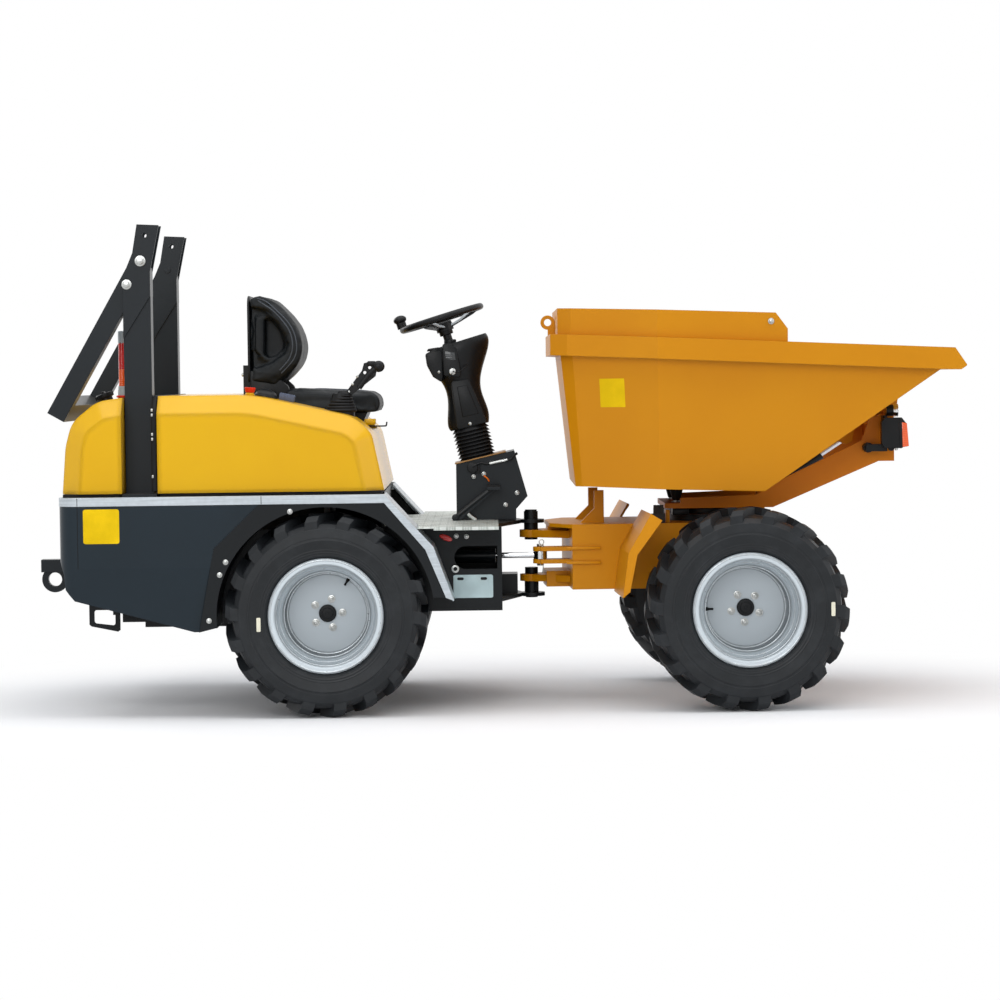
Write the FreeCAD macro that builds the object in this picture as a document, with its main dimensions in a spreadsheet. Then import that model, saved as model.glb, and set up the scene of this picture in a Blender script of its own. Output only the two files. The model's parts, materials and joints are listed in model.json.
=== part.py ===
import FreeCAD, Part
import os
import re

import Sketcher
from FreeCAD import Placement, Rotation, Vector

# A small articulated site dumper: the rear unit carries the engine, the driver and the roll bar,
# the front unit carries a turntable with a tipping skip. All sizes are millimetres and degrees.
#
# Every outline is drawn about the upright articulation axis: X runs forward, Y to the left and Z up
# from the ground. The machine stands as it parks, with the front unit steered a little to the left
# and the skip swung back in line with the rear unit.

DIMENSIONS = {
    # The articulation axis in the part's own frame, and the parked steering angle
    "pivot_x": 141.3, "pivot_y": -22.7, "steer_rest": 2.5,
    # Axles and wheels
    "wheelbase": 1550, "running_gap": 0.3,
    "tyre_radius": 380, "tyre_width": 264, "carcass_depth": 28, "lug_count": 18, "lug_width": 36,
    "lug_reach": 118, "rim_seat": 194, "rim_flange": 215, "rim_width": 240, "rim_wall": 6,
    "rim_well": 160, "disc_recess": 150, "disc_wall": 10, "hub_bore": 33, "hub_radius": 78,
    "hub_length": 34, "bead_seat": 34, "rim_ramp": 56, "axle_radius": 58, "axle_flange": 90,
    "axle_flange_wall": 14,
    "diff_width": 190, "diff_height": 120, "spigot_reach": 6,
    # Rear chassis
    "frame_half": 400, "tyre_gap": 43, "body_inset": 17, "frame_wall": 12, "frame_rear": -1640,
    "frame_front": -129,
    "frame_low": 372, "frame_high": 690, "window_rear": -298, "window_low": 531, "window_high": 618,
    "spine_half": 55, "spine_rear": -560, "spine_front": -120, "fork_wall": 14, "fork_eye": 52,
    "upper_boss_low": 659.3, "upper_boss_high": 731, "lower_boss_low": 399, "lower_boss_high": 457.7,
    "boss_radius": 27.5, "pin_radius": 17.5, "upper_pin_low": 620, "lower_pin_high": 511,
    "riser_x": -572, "rear_cross": -1600, "tail_rise": 70, "tail_rise_x": -1460,
    "port_right": -290, "port_left": -80, "housing_front": -55, "housing_half": 70,
    "housing_high": 489, "loop_rear": -1689, "loop_front": -1572, "loop_low": 309,
    "loop_window_rear": -1670, "loop_window_front": -1590, "loop_window_low": 336,
    "loop_window_high": 392, "pan_rear": -1503, "pan_front": -1180, "pan_half": 160, "pan_low": 306,
    # Floor and rear body
    "floor_top": 705, "floor_wall": 5, "floor_rear": -430, "floor_lip": 12,
    "band_low": 798, "band_high": 830,
    "body_rear": -1764, "corner_radius": 70, "skirt_wall": 30,
    "skirt_front": -1017, "skirt_knee_x": -1187, "skirt_knee_z": 635, "skirt_toe_x": -1245,
    "skirt_low": 325, "skirt_heel_x": -1706, "skirt_heel_z": 446, "skirt_back_x": -1740,
    "skirt_back_z": 488, "skirt_crease": 565, "skirt_lean": 4.8,
    "arch_gap": 25, "arch_wall": 6, "fender_gap": 30, "fender_wall": 8,
    "fender_nose_x": -553, "fender_knee_x": -372, "fender_knee_z": 633, "fender_toe_x": -298,
    "fender_toe_z": 431, "edge_width": 30, "edge_wall": 5,
    # Hoods
    "hood_low": 842, "hood_inset": 45, "hood_wall": 4, "hood_rear": -1395, "hood_top": 1204,
    "hood_bend_x": -1050, "hood_nose_top_x": -668, "hood_nose_top_z": 1118, "hood_nose_x": -600,
    "hood_nose_z": 1058, "hood_front": -555, "band_fall": 66, "hood_bend_round": 600,
    "hood_nose_round": 150, "hood_chin_round": 80, "tail_round": 120, "tail_back_round": 200,
    "tail_front": -1528, "tail_top": 1199, "tail_shoulder_x": -1622, "tail_shoulder_z": 1187,
    "tail_bend_x": -1720, "tail_bend_z": 1109, "tail_back_x": -1744, "tail_back_z": 1016,
    "tail_rear": -1757,
    # The well in the main hood that the seat stands in
    "well_rear": -1112, "well_low": 1060, "well_gap": 18,
    # Engine, as one plain block
    "engine_rear": -1340, "engine_front": -800, "engine_half": 230, "engine_low": 520,
    "engine_high": 1040,
    # Roll bar
    "post_rear": -1524, "post_front": -1421, "post_inset": 150, "post_width": 80, "post_wall": 6,
    "post_base": 830, "post_foot": 10, "fork_plate": 8, "hinge_x": -1456, "hinge_z": 1709,
    "hoop_angle": 60.5, "hoop_depth": 70, "hoop_reach": 668, "hoop_wall": 6, "hoop_head": 130,
    "hoop_gap": 0.5,
    "lock_reach": 97, "lock_hole": 9, "raised_lean": 9.4, "hinge_bolt": 12, "plate_top": 1846,
    # Seat
    "seat_rear": -1082, "seat_front": -569, "seat_half": 235, "cushion_rear": -950,
    "cushion_low": 1128, "cushion_high": 1222, "back_high": 1597, "bracket_high": 1316,
    "bracket_wall": 24,
    # Driver's controls
    "lever_x": -725, "lever_y": -330, "lever_foot": 1134, "gaiter_radius": 50, "gaiter_height": 70,
    "lever_wall": 12, "lever_hole": 6,
    "pedestal_rear": -290, "pedestal_front": -58, "pedestal_half": 120, "pedestal_top_rear": 921,
    "pedestal_top_front": 973, "pedestal_nose_x": -13, "pedestal_nose_z": 795,
    "pedestal_chin_z": 745, "pedestal_wall": 5,
    "bellows_x": -206, "bellows_length": 128, "bellows_rings": 9, "bellows_radius": 62,
    "bellows_depth": 12, "neck_x": -256, "neck_z": 1202, "head_shift": 35,
    "wheel_hub_x": -340, "wheel_hub_z": 1491, "wheel_tilt": 16.8, "wheel_radius": 158,
    "wheel_grip": 13, "wheel_dish": 52, "wheel_drop": 106,
    "beacon_x": -1548, "beacon_y": -400,
    # Tow hitch
    "hitch_rear": -1922, "hitch_low": 516, "hitch_high": 565, "hitch_half": 30, "hitch_wall": 14,
    "ring_x": -1870, "ring_z": 487, "ring_eye": 27, "ring_outer": 51, "ring_half": 15,
    # Front chassis
    "chassis_rear": 141, "chassis_front": 1000, "chassis_half": 300, "chassis_low": 440,
    "chassis_high": 690, "chassis_wall": 15,
    "upper_tongue_low": 630, "upper_tongue_high": 659, "lower_tongue_low": 458,
    "lower_tongue_high": 485, "tongue_eye": 45, "tongue_half": 150, "gusset_rear": 62,
    "clevis_x": 24, "clevis_y": -190, "clevis_half": 42, "clevis_low": 537, "clevis_high": 601,
    "clevis_wall": 16, "rest_rear": 238, "rest_front": 275, "rest_y": 150, "rest_wall": 18,
    "rest_gap": 25, "guard_wall": 8, "guard_top_x": 408, "guard_top_z": 744,
    "guard_knee_x": 323, "guard_knee_z": 599, "guard_toe_x": 300, "guard_toe_z": 432,
    "guard_fold": 30,
    # Turntable and its frame
    "swivel_x": 706, "ring_radius": 166, "ring_bore": 95, "ring_fixed": 26, "ring_turning": 28,
    "table_wall": 20, "table_rear": 515, "table_front": 932, "beam_y": 250, "beam_wall": 14,
    "beam_foot_x": 1028, "beam_foot_z": 136, "beam_shoulder_x": 1276, "beam_shoulder_z": 254,
    "beam_front": 1341, "beam_front_low": 173, "beam_front_high": 347, "lightbox_front": 1395,
    "lightbox_foot": 1356, "lamp_y": 310, "lamp_arm_rear": 1284, "indicator_y": 340,
    "tip_x": 1385, "tip_z": 366, "tip_eye": 30, "tip_pin": 14, "lamp_radius": 22,
    # Skip
    "skip_wall": 5, "skip_lean": 6, "skip_low_rear_x": 208, "skip_low_rear_z": 96,
    "skip_low_front_x": 877, "skip_low_front_z": 72, "slope_top_x": 1547, "slope_top_z": 524,
    "skip_rear": 104, "skip_rear_half": 445, "skip_corner": 48, "skip_corner_half": 505,
    "skip_crease_x": 470, "skip_crease_half": 645, "mouth_half": 520, "mouth_x": 1640,
    "rim_reach": 28, "rim_depth": 80, "rim_rear_low": 596, "rim_front_x": 1596,
    "rim_front_z": 605, "tip_edge_x": 1642, "tip_edge_z": 538, "lip_x": 1619, "lip_z": 522,
    "board_wall": 5, "board_rise": 96, "board_front_x": 918,
    "board_front_rise": 67, "board_end_x": 963, "eye_rise": 50, "eye_radius": 28,
    "eye_bore": 14, "ear_y": 205, "ear_wall": 20,
    # Cylinders
    "steer_rear_x": -430, "steer_rear_y": -175, "steer_z": 569, "barrel_radius": 28,
    "rod_radius": 11, "eye_pad": 26, "steer_barrel": 290, "steer_pin": 12, "steer_eye_half": 15,
    "steer_grip": 130,
    "lift_low_x": 925, "lift_low_z": 56, "lift_high_x": 1240, "lift_high_z": 259,
    "lift_barrel": 260, "lift_barrel_radius": 23, "lift_rod_radius": 12, "lift_eye_pad": 24,
    "lift_pin": 12, "lift_eye_half": 20, "lift_grip": 190,
}

# Places that follow from the sizes above, written with their names
FORMULAS = {
    "rear_axle_x": "-wheelbase / 2",
    "front_axle_x": "wheelbase / 2",
    "wheel_y": "frame_half + tyre_gap + tyre_width / 2",
    "body_half": "wheel_y + tyre_width / 2 - body_inset",
    "fender_inner": "frame_half + fender_gap",
    "hood_half": "body_half - hood_inset",
    "post_outer": "body_half - post_inset",
    "post_inner": "post_outer - post_width",
    "arch_radius": "tyre_radius + arch_gap",
    "ring_split": "chassis_high + ring_fixed",
    "ring_high": "ring_split + ring_turning",
    "rest_high": "ring_high + skip_low_rear_z - rest_gap",
    "rim_rear_high": "rim_rear_low + rim_depth",
    "eye_z": "rim_rear_high + eye_rise",
    "board_high": "rim_rear_high + board_rise",
    "board_front_z": "rim_rear_high + board_front_rise",
    "disc_out": "rim_width / 2 - disc_recess",
    "hub_inner": "disc_out - disc_wall - hub_length",
    "console_rise": "(pedestal_top_front - pedestal_top_rear) / (pedestal_front - 5 - pedestal_rear)",
    "console_tilt": "atan(console_rise)",
    "console_top_z": "pedestal_top_rear + (bellows_x - pedestal_rear) * console_rise",
    "bellows_top_x": "bellows_x - bellows_length * sin(console_tilt)",
    "bellows_top_z": "console_top_z + bellows_length * cos(console_tilt)",
    "head_x": "wheel_hub_x + wheel_drop * sin(wheel_tilt) + head_shift * cos(wheel_tilt)",
    "head_z": "wheel_hub_z - wheel_drop * cos(wheel_tilt) + head_shift * sin(wheel_tilt)",
    "slope_rise": "(slope_top_z - skip_low_front_z) / (slope_top_x - skip_low_front_x)",
    "eye_x": "skip_rear - eye_radius",
    "rim_fall": "(rim_rear_high - rim_front_z) / (rim_front_x - skip_rear + 60)",
}

ALIAS = re.compile(r"[a-z][a-z_]*[a-z]")

doc = FreeCAD.newDocument("site_dumper")
sheet = doc.addObject("Spreadsheet::Sheet", "dims")
nodes = {}


def write_sheet():
    """Write the driving dimensions into the sheet, one alias a row."""
    for row, (alias, number) in enumerate(DIMENSIONS.items(), start=1):
        sheet.set(f"A{row}", alias)
        sheet.set(f"B{row}", str(number))
        sheet.setAlias(f"B{row}", alias)
    doc.recompute()


def size(alias):
    """Return a driving dimension as a number."""
    return float(sheet.get(alias))


def bound(text):
    """Return an expression in which each alias points at the sheet and each formula is written out."""
    def swap(match):
        word = match.group()
        if word in FORMULAS:
            return f"({bound(FORMULAS[word])})"
        return f"dims.{word}" if word in DIMENSIONS else word
    return ALIAS.sub(swap, str(text))


def bind(item, **expressions):
    """Bind properties to expressions; a double underscore in a name stands for a dot."""
    for name, text in expressions.items():
        item.setExpression(name.replace("__", "."), bound(text))
    return item


def origin_plane(body, role):
    """Return one of a body's own origin planes."""
    return next(item for item in body.Origin.OriginFeatures if item.Role == role)


def outline_sketch(body, name, role, points):
    """Draw a closed outline of straight sides, each corner held by two bound distances."""
    sketch = body.newObject("Sketcher::SketchObject", name)
    sketch.AttachmentSupport = [(origin_plane(body, role), "")]
    sketch.MapMode = "FlatFace"
    count = len(points)
    ring = [Rotation(Vector(0, 0, 1), 360.0 * turn / count).multVec(Vector(100, 0, 0))
            for turn in range(count)]
    for turn in range(count):
        sketch.addGeometry(Part.LineSegment(ring[turn], ring[(turn + 1) % count]), False)
    for turn in range(count):
        sketch.addConstraint(Sketcher.Constraint("Coincident", turn, 2, (turn + 1) % count, 1))
    for turn, (across, up) in enumerate(points):
        for kind, text, start in (("DistanceX", across, ring[turn].x), ("DistanceY", up, ring[turn].y)):
            index = sketch.addConstraint(Sketcher.Constraint(kind, -1, 1, turn, 1, start))
            sketch.setExpression(f"Constraints[{index}]", bound(text))
    return sketch


def prism(name, role, points, low, high, taper=None):
    """Pad an outline from one coordinate to another along the axis that its plane faces."""
    body = doc.addObject("PartDesign::Body", name)
    sketch = outline_sketch(body, f"{name}_outline", role, points)
    pad = body.newObject("PartDesign::Pad", f"{name}_pad")
    pad.Profile = sketch
    pad.setExpression("Length", bound(f"({high}) - ({low})"))
    if taper:
        pad.Reversed = True
        sketch.setExpression("AttachmentOffset.Base.z", bound(high))
        pad.setExpression("TaperAngle", bound(taper))
    elif role == "XZ_Plane":
        pad.Reversed = True
        sketch.setExpression("AttachmentOffset.Base.z", bound(f"-({low})"))
    else:
        sketch.setExpression("AttachmentOffset.Base.z", bound(low))
    body.Tip = pad
    doc.recompute([body, sketch, pad])
    return body


def side_prism(name, points, low, high):
    """Pad an outline drawn in X and Z across the machine, from Y = low to Y = high."""
    return prism(name, "XZ_Plane", points, low, high)


def plan_prism(name, points, low, high, taper=None):
    """Pad an outline drawn in X and Y upwards, from Z = low to Z = high."""
    return prism(name, "XY_Plane", points, low, high, taper)


def edged(body, kind, wanted, **sizes):
    """Round or chamfer the edges of a body for which the test holds."""
    tip = body.Tip
    names = [f"Edge{index}" for index, edge in enumerate(tip.Shape.Edges, start=1) if wanted(edge)]
    feature = body.newObject(f"PartDesign::{kind}", f"{body.Name}_{kind.lower()}")
    feature.Base = (tip, names)
    bind(feature, **sizes)
    body.Tip = feature
    doc.recompute([feature, body])
    return body


def rounded_corners(body, radii):
    """Round corners of a body's outline, each given as its turn in the outline and its radius."""
    sketch = body.Group[0]
    for turn, radius in radii.items():
        corner = sketch.Geometry[turn].StartPoint

        def at_corner(edge, corner=corner):
            return all(abs(vertex.X - corner.x) < 0.1 and abs(vertex.Z - corner.y) < 0.1
                       for vertex in edge.Vertexes)
        edged(body, "Fillet", at_corner, Radius=radius)
    return body


def box(name, x, y, z):
    """Make a box from three pairs of coordinates."""
    item = doc.addObject("Part::Box", name)
    for side, axis, (low, high) in (("Length", "x", x), ("Width", "y", y), ("Height", "z", z)):
        item.setExpression(side, bound(f"({high}) - ({low})"))
        item.setExpression(f"Placement.Base.{axis}", bound(low))
    return item


AXIS_TURNS = {"X": Rotation(Vector(0, 1, 0), 90), "Y": Rotation(Vector(1, 0, 0), -90), "Z": Rotation()}


def rod(name, axis, centre, radius, low, high):
    """Make a cylinder along an axis; centre holds its two other coordinates in X, Y, Z order."""
    item = doc.addObject("Part::Cylinder", name)
    item.Placement = Placement(Vector(), AXIS_TURNS[axis])
    places = dict(zip([letter for letter in "XYZ" if letter != axis], centre))
    places[axis] = low
    for letter, text in places.items():
        item.setExpression(f"Placement.Base.{letter.lower()}", bound(text))
    return bind(item, Radius=radius, Height=f"({high}) - ({low})")


def fuse(name, *parts):
    """Join pieces that are welded or cast together."""
    item = doc.addObject("Part::MultiFuse", name)
    item.Shapes = list(parts)
    item.Refine = True
    return item


def cut(name, base, *tools):
    """Take one or more pieces out of another."""
    item = doc.addObject("Part::Cut", name)
    item.Base = base
    item.Tool = tools[0] if len(tools) == 1 else fuse(f"{name}_tools", *tools)
    item.Refine = True
    return item


def common(name, first, second):
    """Keep what two pieces share."""
    item = doc.addObject("Part::MultiCommon", name)
    item.Shapes = [first, second]
    item.Refine = True
    return item


def mirrored(name, source):
    """Mirror a piece across the machine's middle plane."""
    item = doc.addObject("Part::Mirroring", name)
    item.Source = source
    item.Normal = Vector(0, 1, 0)
    return item


def on_side(side, low, high):
    """Return a pair of Y coordinates, given for the left, on the named side of the machine."""
    return (low, high) if side == "left" else (f"-({high})", f"-({low})")


def both_sides(name, source):
    """Return a piece with its mirror image."""
    item = doc.addObject("Part::Compound", name)
    item.Links = [source, mirrored(f"{name}_mirror", source)]
    return item


def held(item, x="0", y="0", z="0"):
    """Stand a finished sub-part on the rear unit."""
    return bind(item, Placement__Base__x=f"pivot_x + ({x})", Placement__Base__y=f"pivot_y + ({y})",
                Placement__Base__z=z)


def steered(item, x="0", y="0", z="0"):
    """Stand a finished sub-part on the front unit, turned about the articulation axis."""
    item.Placement = Placement(Vector(), Rotation(Vector(0, 0, 1), 1))
    return bind(item, Placement__Rotation__Angle="steer_rest",
                Placement__Base__x=f"pivot_x + ({x}) * cos(steer_rest) - ({y}) * sin(steer_rest)",
                Placement__Base__y=f"pivot_y + ({x}) * sin(steer_rest) + ({y}) * cos(steer_rest)",
                Placement__Base__z=z)


def swung(item, x="0", z="0"):
    """Stand a finished sub-part on the turntable, which is swung back in line with the rear unit.

    Heights of the turntable's frame and of the skip are measured from the top of the turntable ring.
    """
    return bind(item, Placement__Base__x=f"pivot_x + swivel_x * (cos(steer_rest) - 1) + {x}",
                Placement__Base__y="pivot_y + swivel_x * sin(steer_rest)",
                Placement__Base__z=f"ring_high + ({z})")


def node(label, item):
    """List a sub-part under the name of its file."""
    item.Label = label
    nodes[label] = item
    return item


# Wheels

def revolved(points):
    """Turn a closed outline of radius and Y places about the Y axis."""
    corners = [Vector(radius, across, 0) for radius, across in points]
    face = Part.Face(Part.makePolygon(corners + corners[:1]))
    return face.revolve(Vector(), Vector(0, 1, 0), 360)


def tyre_shape():
    """Return a tyre about the Y axis, with its two rows of slanting lugs."""
    outer = size("tyre_radius")
    crown = outer - size("carcass_depth")
    half = size("tyre_width") / 2
    seat = size("rim_seat")
    flange = size("rim_flange")
    bead = size("rim_width") / 2 - size("rim_wall")
    upper = [(seat, bead), (flange + 2, bead), (flange + 12, bead + 10), (crown * 0.8, half),
             (crown * 0.92, half - 4), (crown - 10, half - 22), (crown, half * 0.45)]
    lower = [(radius, -across) for radius, across in reversed(upper)]
    carcass = revolved(upper + lower)
    pitch = 360.0 / size("lug_count")
    lugs = []
    for side in (1, -1):
        bar = lug_shape(side, crown, outer, half)
        for turn in range(int(size("lug_count"))):
            copy = bar.copy()
            copy.rotate(Vector(), Vector(0, 1, 0), pitch * (turn + (0.5 if side < 0 else 0)))
            lugs.append(copy)
    return carcass.multiFuse(lugs)


def lug_shape(side, crown, outer, half):
    """Return one lug, slanting from the middle of the tread down onto the shoulder."""
    width = size("lug_width")
    reach = size("lug_reach")
    sweep = reach * 0.62
    root = crown - 34
    plan = [Vector(-sweep, side * (half - 6), root), Vector(-sweep + width * 1.3, side * (half - 6), root),
            Vector(width * 0.9, side * (half - reach), root), Vector(0, side * (half - reach), root)]
    bar = Part.Face(Part.makePolygon(plan + plan[:1])).extrude(Vector(0, 0, outer - root + 12))
    ring = revolved([(root - 40, half), (outer - 34, half), (outer - 6, half - 20),
                     (outer, half * 0.55), (outer, -half * 0.55), (outer - 6, 20 - half),
                     (outer - 34, -half), (root - 40, -half)])
    return bar.common(ring)


def rim_shape():
    """Return a wheel rim about the Y axis: barrel, dished disc and hub drum, outer side at +Y."""
    half = size("rim_width") / 2
    wall = size("rim_wall")
    seat = size("rim_seat")
    flange = size("rim_flange")
    well = size("rim_well")
    disc = half - size("disc_recess")
    back = disc - size("disc_wall")
    inner = back - size("hub_length")
    lip = wall / 2
    ramp = size("rim_ramp")
    slope = size("bead_seat")
    outside = [(flange, half - lip), (flange, half - wall), (seat, half - wall), (seat, half - slope),
               (well + wall, disc + ramp), (well + wall, back - wall * 2), (seat, back - wall * 2 - slope),
               (seat, wall - half), (flange, wall - half), (flange, lip - half), (flange - lip, -half)]
    inside = [(seat, -half), (seat - wall, wall - half), (seat - wall, back - wall - slope),
              (well, back - wall), (well, back), (size("hub_radius"), back), (size("hub_radius"), inner),
              (size("hub_bore"), inner), (size("hub_bore"), disc), (well - wall * 2, disc),
              (well, disc + wall * 2), (well, disc + ramp + lip), (seat - wall, half - slope + lip),
              (seat - wall, half - wall), (seat, half), (flange - lip, half)]
    return revolved(outside + inside)


def wheels():
    """Make the four wheels: a rim with its tyre at each end of both axles."""
    shapes = {"tyre": tyre_shape(), "rim": rim_shape()}
    for end, stand, axle in (("front", steered, "front_axle_x"), ("rear", held, "rear_axle_x")):
        for side, sign in (("right", -1), ("left", 1)):
            for piece, shape in shapes.items():
                item = doc.addObject("Part::Feature", f"{end}_{side}_{piece}")
                item.Shape = shape if sign > 0 else shape.mirror(Vector(), Vector(0, 1, 0))
                stand(item, axle, f"{sign} * wheel_y", "tyre_radius")
                node(f"{end}_{side}_{piece}", item)


def axle(label, axle_x):
    """Return an axle: a cast middle, a tube and, at each end, a flange with the wheel's spigot."""
    height = "tyre_radius"
    flange = "wheel_y + hub_inner - running_gap"
    half = [rod(f"{label}_tube", "Y", (axle_x, height), "axle_radius", "0", flange),
            rod(f"{label}_flange", "Y", (axle_x, height), "axle_flange",
                f"{flange} - axle_flange_wall", flange),
            rod(f"{label}_spigot", "Y", (axle_x, height), "hub_bore - running_gap", "0",
                "wheel_y + disc_out + spigot_reach")]
    middle = box(f"{label}_middle", (f"{axle_x} - diff_width / 2", f"{axle_x} + diff_width / 2"),
                 ("-diff_width / 2", "diff_width / 2"),
                 (f"{height} - diff_height / 2", f"{height} + diff_height / 2"))
    near = fuse(f"{label}_half", *half)
    return fuse(f"{label}_body", near, mirrored(f"{label}_other_half", near), middle)


# Rear unit

def rear_frame():
    """Make the rear chassis: side plates, cross plates and the fork that holds the articulation."""
    side = side_prism("rear_side",
                      [("frame_rear", "frame_low + tail_rise"), ("tail_rise_x", "frame_low"),
                       ("frame_front", "frame_low"), ("frame_front", "frame_high"),
                       ("frame_rear", "frame_high")], "frame_half - frame_wall", "frame_half")
    height = "(window_high - window_low) / 2"
    window = fuse("frame_window",
                  box("window_slot", (f"window_rear + {height}", "frame_front + 1"),
                      ("frame_half - frame_wall - 1", "frame_half + 1"), ("window_low", "window_high")),
                  rod("window_end", "Y", (f"window_rear + {height}", f"window_low + {height}"), height,
                      "frame_half - frame_wall - 1", "frame_half + 1"))
    sides = both_sides("rear_sides", cut("rear_side_open", side, window))
    inner = "frame_half - frame_wall"
    crosses = [box(f"rear_cross_{index}", (place, f"{place} + frame_wall"), (f"-({inner})", inner),
                   ("frame_low", high))
               for index, (place, high) in enumerate((("rear_cross", "frame_high"),
                                                      ("riser_x", "band_high")))]
    riser = box("rear_riser", ("riser_x", "riser_x + frame_wall"), ("-fender_inner", "fender_inner"),
                ("frame_high", "band_high"))
    spine = box("rear_spine", ("spine_rear", "spine_front"), ("-spine_half", "spine_half"),
                ("lower_boss_low", "floor_top - floor_wall"))
    eyes = "fork_eye"
    plan = [("spine_rear", f"-({inner})"), ("frame_front - 12", f"-({inner})"), ("-40", f"-{eyes}"),
            ("-40", eyes), ("frame_front - 12", inner), ("spine_rear", inner)]
    pieces = [sides, riser, spine, front_cross(), *under_tail()] + crosses
    for name, low, high in (("upper", "floor_top - floor_wall - fork_wall", "floor_top - floor_wall"),
                            ("lower", "lower_boss_low", "lower_boss_low + fork_wall")):
        pieces.append(plan_prism(f"{name}_fork", plan, low, high))
        pieces.append(rod(f"{name}_fork_eye", "Z", ("0", "0"), eyes, low, high))
    pieces.append(rod("upper_boss", "Z", ("0", "0"), "boss_radius", "upper_boss_low", "upper_boss_high"))
    pieces.append(rod("lower_boss", "Z", ("0", "0"), "boss_radius", "lower_boss_low", "lower_boss_high"))
    eye = [box(f"steer_bracket_{name}", ("steer_rear_x - 60", "steer_rear_x + 14"),
               ("steer_rear_y - 32", "steer_rear_y + 32"), (low, high))
           for name, low, high in (
               ("low", "steer_z - eye_pad - 12", "steer_z - eye_pad - running_gap"),
               ("high", "steer_z + eye_pad + running_gap", "steer_z + eye_pad + 12"))]
    web = box("steer_web", ("steer_rear_x - 60", "steer_rear_x - 40"),
              ("steer_rear_y - 32", "-spine_half"), ("steer_z - eye_pad - 12", "steer_z + eye_pad + 12"))
    pin = rod("steer_rear_pin", "Z", ("steer_rear_x", "steer_rear_y"), "steer_pin - running_gap",
              "steer_z - eye_pad - 12", "steer_z + eye_pad + 12")
    notch = rod("axle_notch", "Y", ("rear_axle_x", "tyre_radius"), "axle_radius", "-frame_half - 1",
                "frame_half + 1")
    plates = cut("rear_plates", fuse("rear_plates_whole", *pieces), notch)
    node("rear_frame", held(fuse("rear_frame_body", plates, *eye, web, pin, *pivot_pins())))


def front_cross():
    """Return the plate across the front of the rear chassis and the housing of the lower joint."""
    plate = box("front_cross_plate", ("frame_front - frame_wall / 2", "frame_front + frame_wall"),
                ("-frame_half", "frame_half"), ("frame_low", "frame_high"))
    port = box("cylinder_port", ("frame_front - frame_wall", "frame_front + frame_wall + 1"),
               ("port_right", "port_left"), ("window_low", "window_high"))
    housing = box("joint_housing", ("frame_front", "housing_front"), ("-housing_half", "housing_half"),
                  ("lower_boss_low", "housing_high"))
    return fuse("front_cross", cut("front_cross_open", plate, port), housing)


def under_tail():
    """Return what hangs below the tail: a lashing loop each side and the pan on its strap and bar."""
    plate = side_prism("loop_plate",
                       [("loop_rear", "frame_low + tail_rise"), ("loop_rear", "loop_low + 28"),
                        ("loop_rear + 8", "loop_low + 21"), ("loop_front - 8", "loop_low"),
                        ("loop_front", "loop_low + 6"), ("loop_front", "frame_low + tail_rise")],
                       "frame_half - frame_wall", "frame_half")
    window = edged(side_prism("loop_window",
                              [("loop_window_rear", "loop_window_low + 6"),
                               ("loop_window_front", "loop_window_low - 4"),
                               ("loop_window_front", "loop_window_high"),
                               ("loop_window_rear", "loop_window_high")],
                              "frame_half - frame_wall - 1", "frame_half + 1"),
                   "Fillet", runs_across, Radius="10")
    pan = box("belly_pan", ("pan_rear", "pan_front"), ("-pan_half", "pan_half"), ("pan_low", "frame_low - 6"))
    strap = box("pan_strap", ("pan_front - 80", "pan_front - 20"),
                ("-frame_half + frame_wall", "frame_half - frame_wall"), ("frame_low - 18", "frame_low + 6"))
    bar = side_prism("pan_bar",
                     [("rear_cross", "pan_low + 14"), ("pan_rear + 1", "pan_low + 14"),
                      ("pan_rear + 1", "pan_low + 46"), ("rear_cross + frame_wall", "pan_low + 46"),
                      ("rear_cross + frame_wall", "frame_low + 1"), ("rear_cross", "frame_low + 1")],
                     "-pan_half / 2", "pan_half / 2")
    return [both_sides("lashing_loops", cut("lashing_loop", plate, window)), pan, strap, bar]


def runs_across(edge):
    """Tell whether an edge runs across the machine."""
    first, last = (vertex.Point for vertex in edge.Vertexes)
    return abs(first.y - last.y) > 1


def pivot_pins():
    """Return the two articulation pins, pressed into the bosses and headed beyond the tongues."""
    return [fuse("upper_pin_headed",
                 rod("upper_pin", "Z", ("0", "0"), "pin_radius", "upper_pin_low", "upper_boss_high + 6"),
                 rod("upper_head", "Z", ("0", "0"), "boss_radius - 4", "upper_boss_high",
                     "upper_boss_high + 6"),
                 rod("upper_nut", "Z", ("0", "0"), "boss_radius - 2", "upper_pin_low",
                     "upper_tongue_low - running_gap")),
            fuse("lower_pin_headed",
                 rod("lower_pin", "Z", ("0", "0"), "pin_radius", "lower_boss_low - 6", "lower_pin_high"),
                 rod("lower_head", "Z", ("0", "0"), "boss_radius - 4", "lower_boss_low - 6",
                     "lower_boss_low"),
                 rod("lower_nut", "Z", ("0", "0"), "boss_radius - 2",
                     "lower_tongue_high + running_gap", "lower_pin_high"))]


def floor_plate():
    """Make the driver's floor with its turned-down front edge."""
    top = box("floor_sheet", ("floor_rear", "frame_front"), ("-body_half", "body_half"),
              ("floor_top - floor_wall", "floor_top"))
    rear = box("floor_back", ("riser_x + frame_wall", "floor_rear"),
               ("-fender_inner", "fender_inner"), ("floor_top - floor_wall", "floor_top"))
    lip = both_sides("floor_lips", box("floor_lip", ("frame_front - floor_wall", "frame_front"),
                                       ("frame_half", "body_half"),
                                       ("floor_top - floor_lip", "floor_top")))
    sill = both_sides("floor_sills", box("floor_sill", ("floor_rear + 60", "frame_front"),
                                         ("body_half - floor_wall", "body_half"),
                                         ("floor_top - floor_lip", "floor_top")))
    node("floor_plate", held(fuse("floor_folded", top, rear, lip, sill)))


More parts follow.
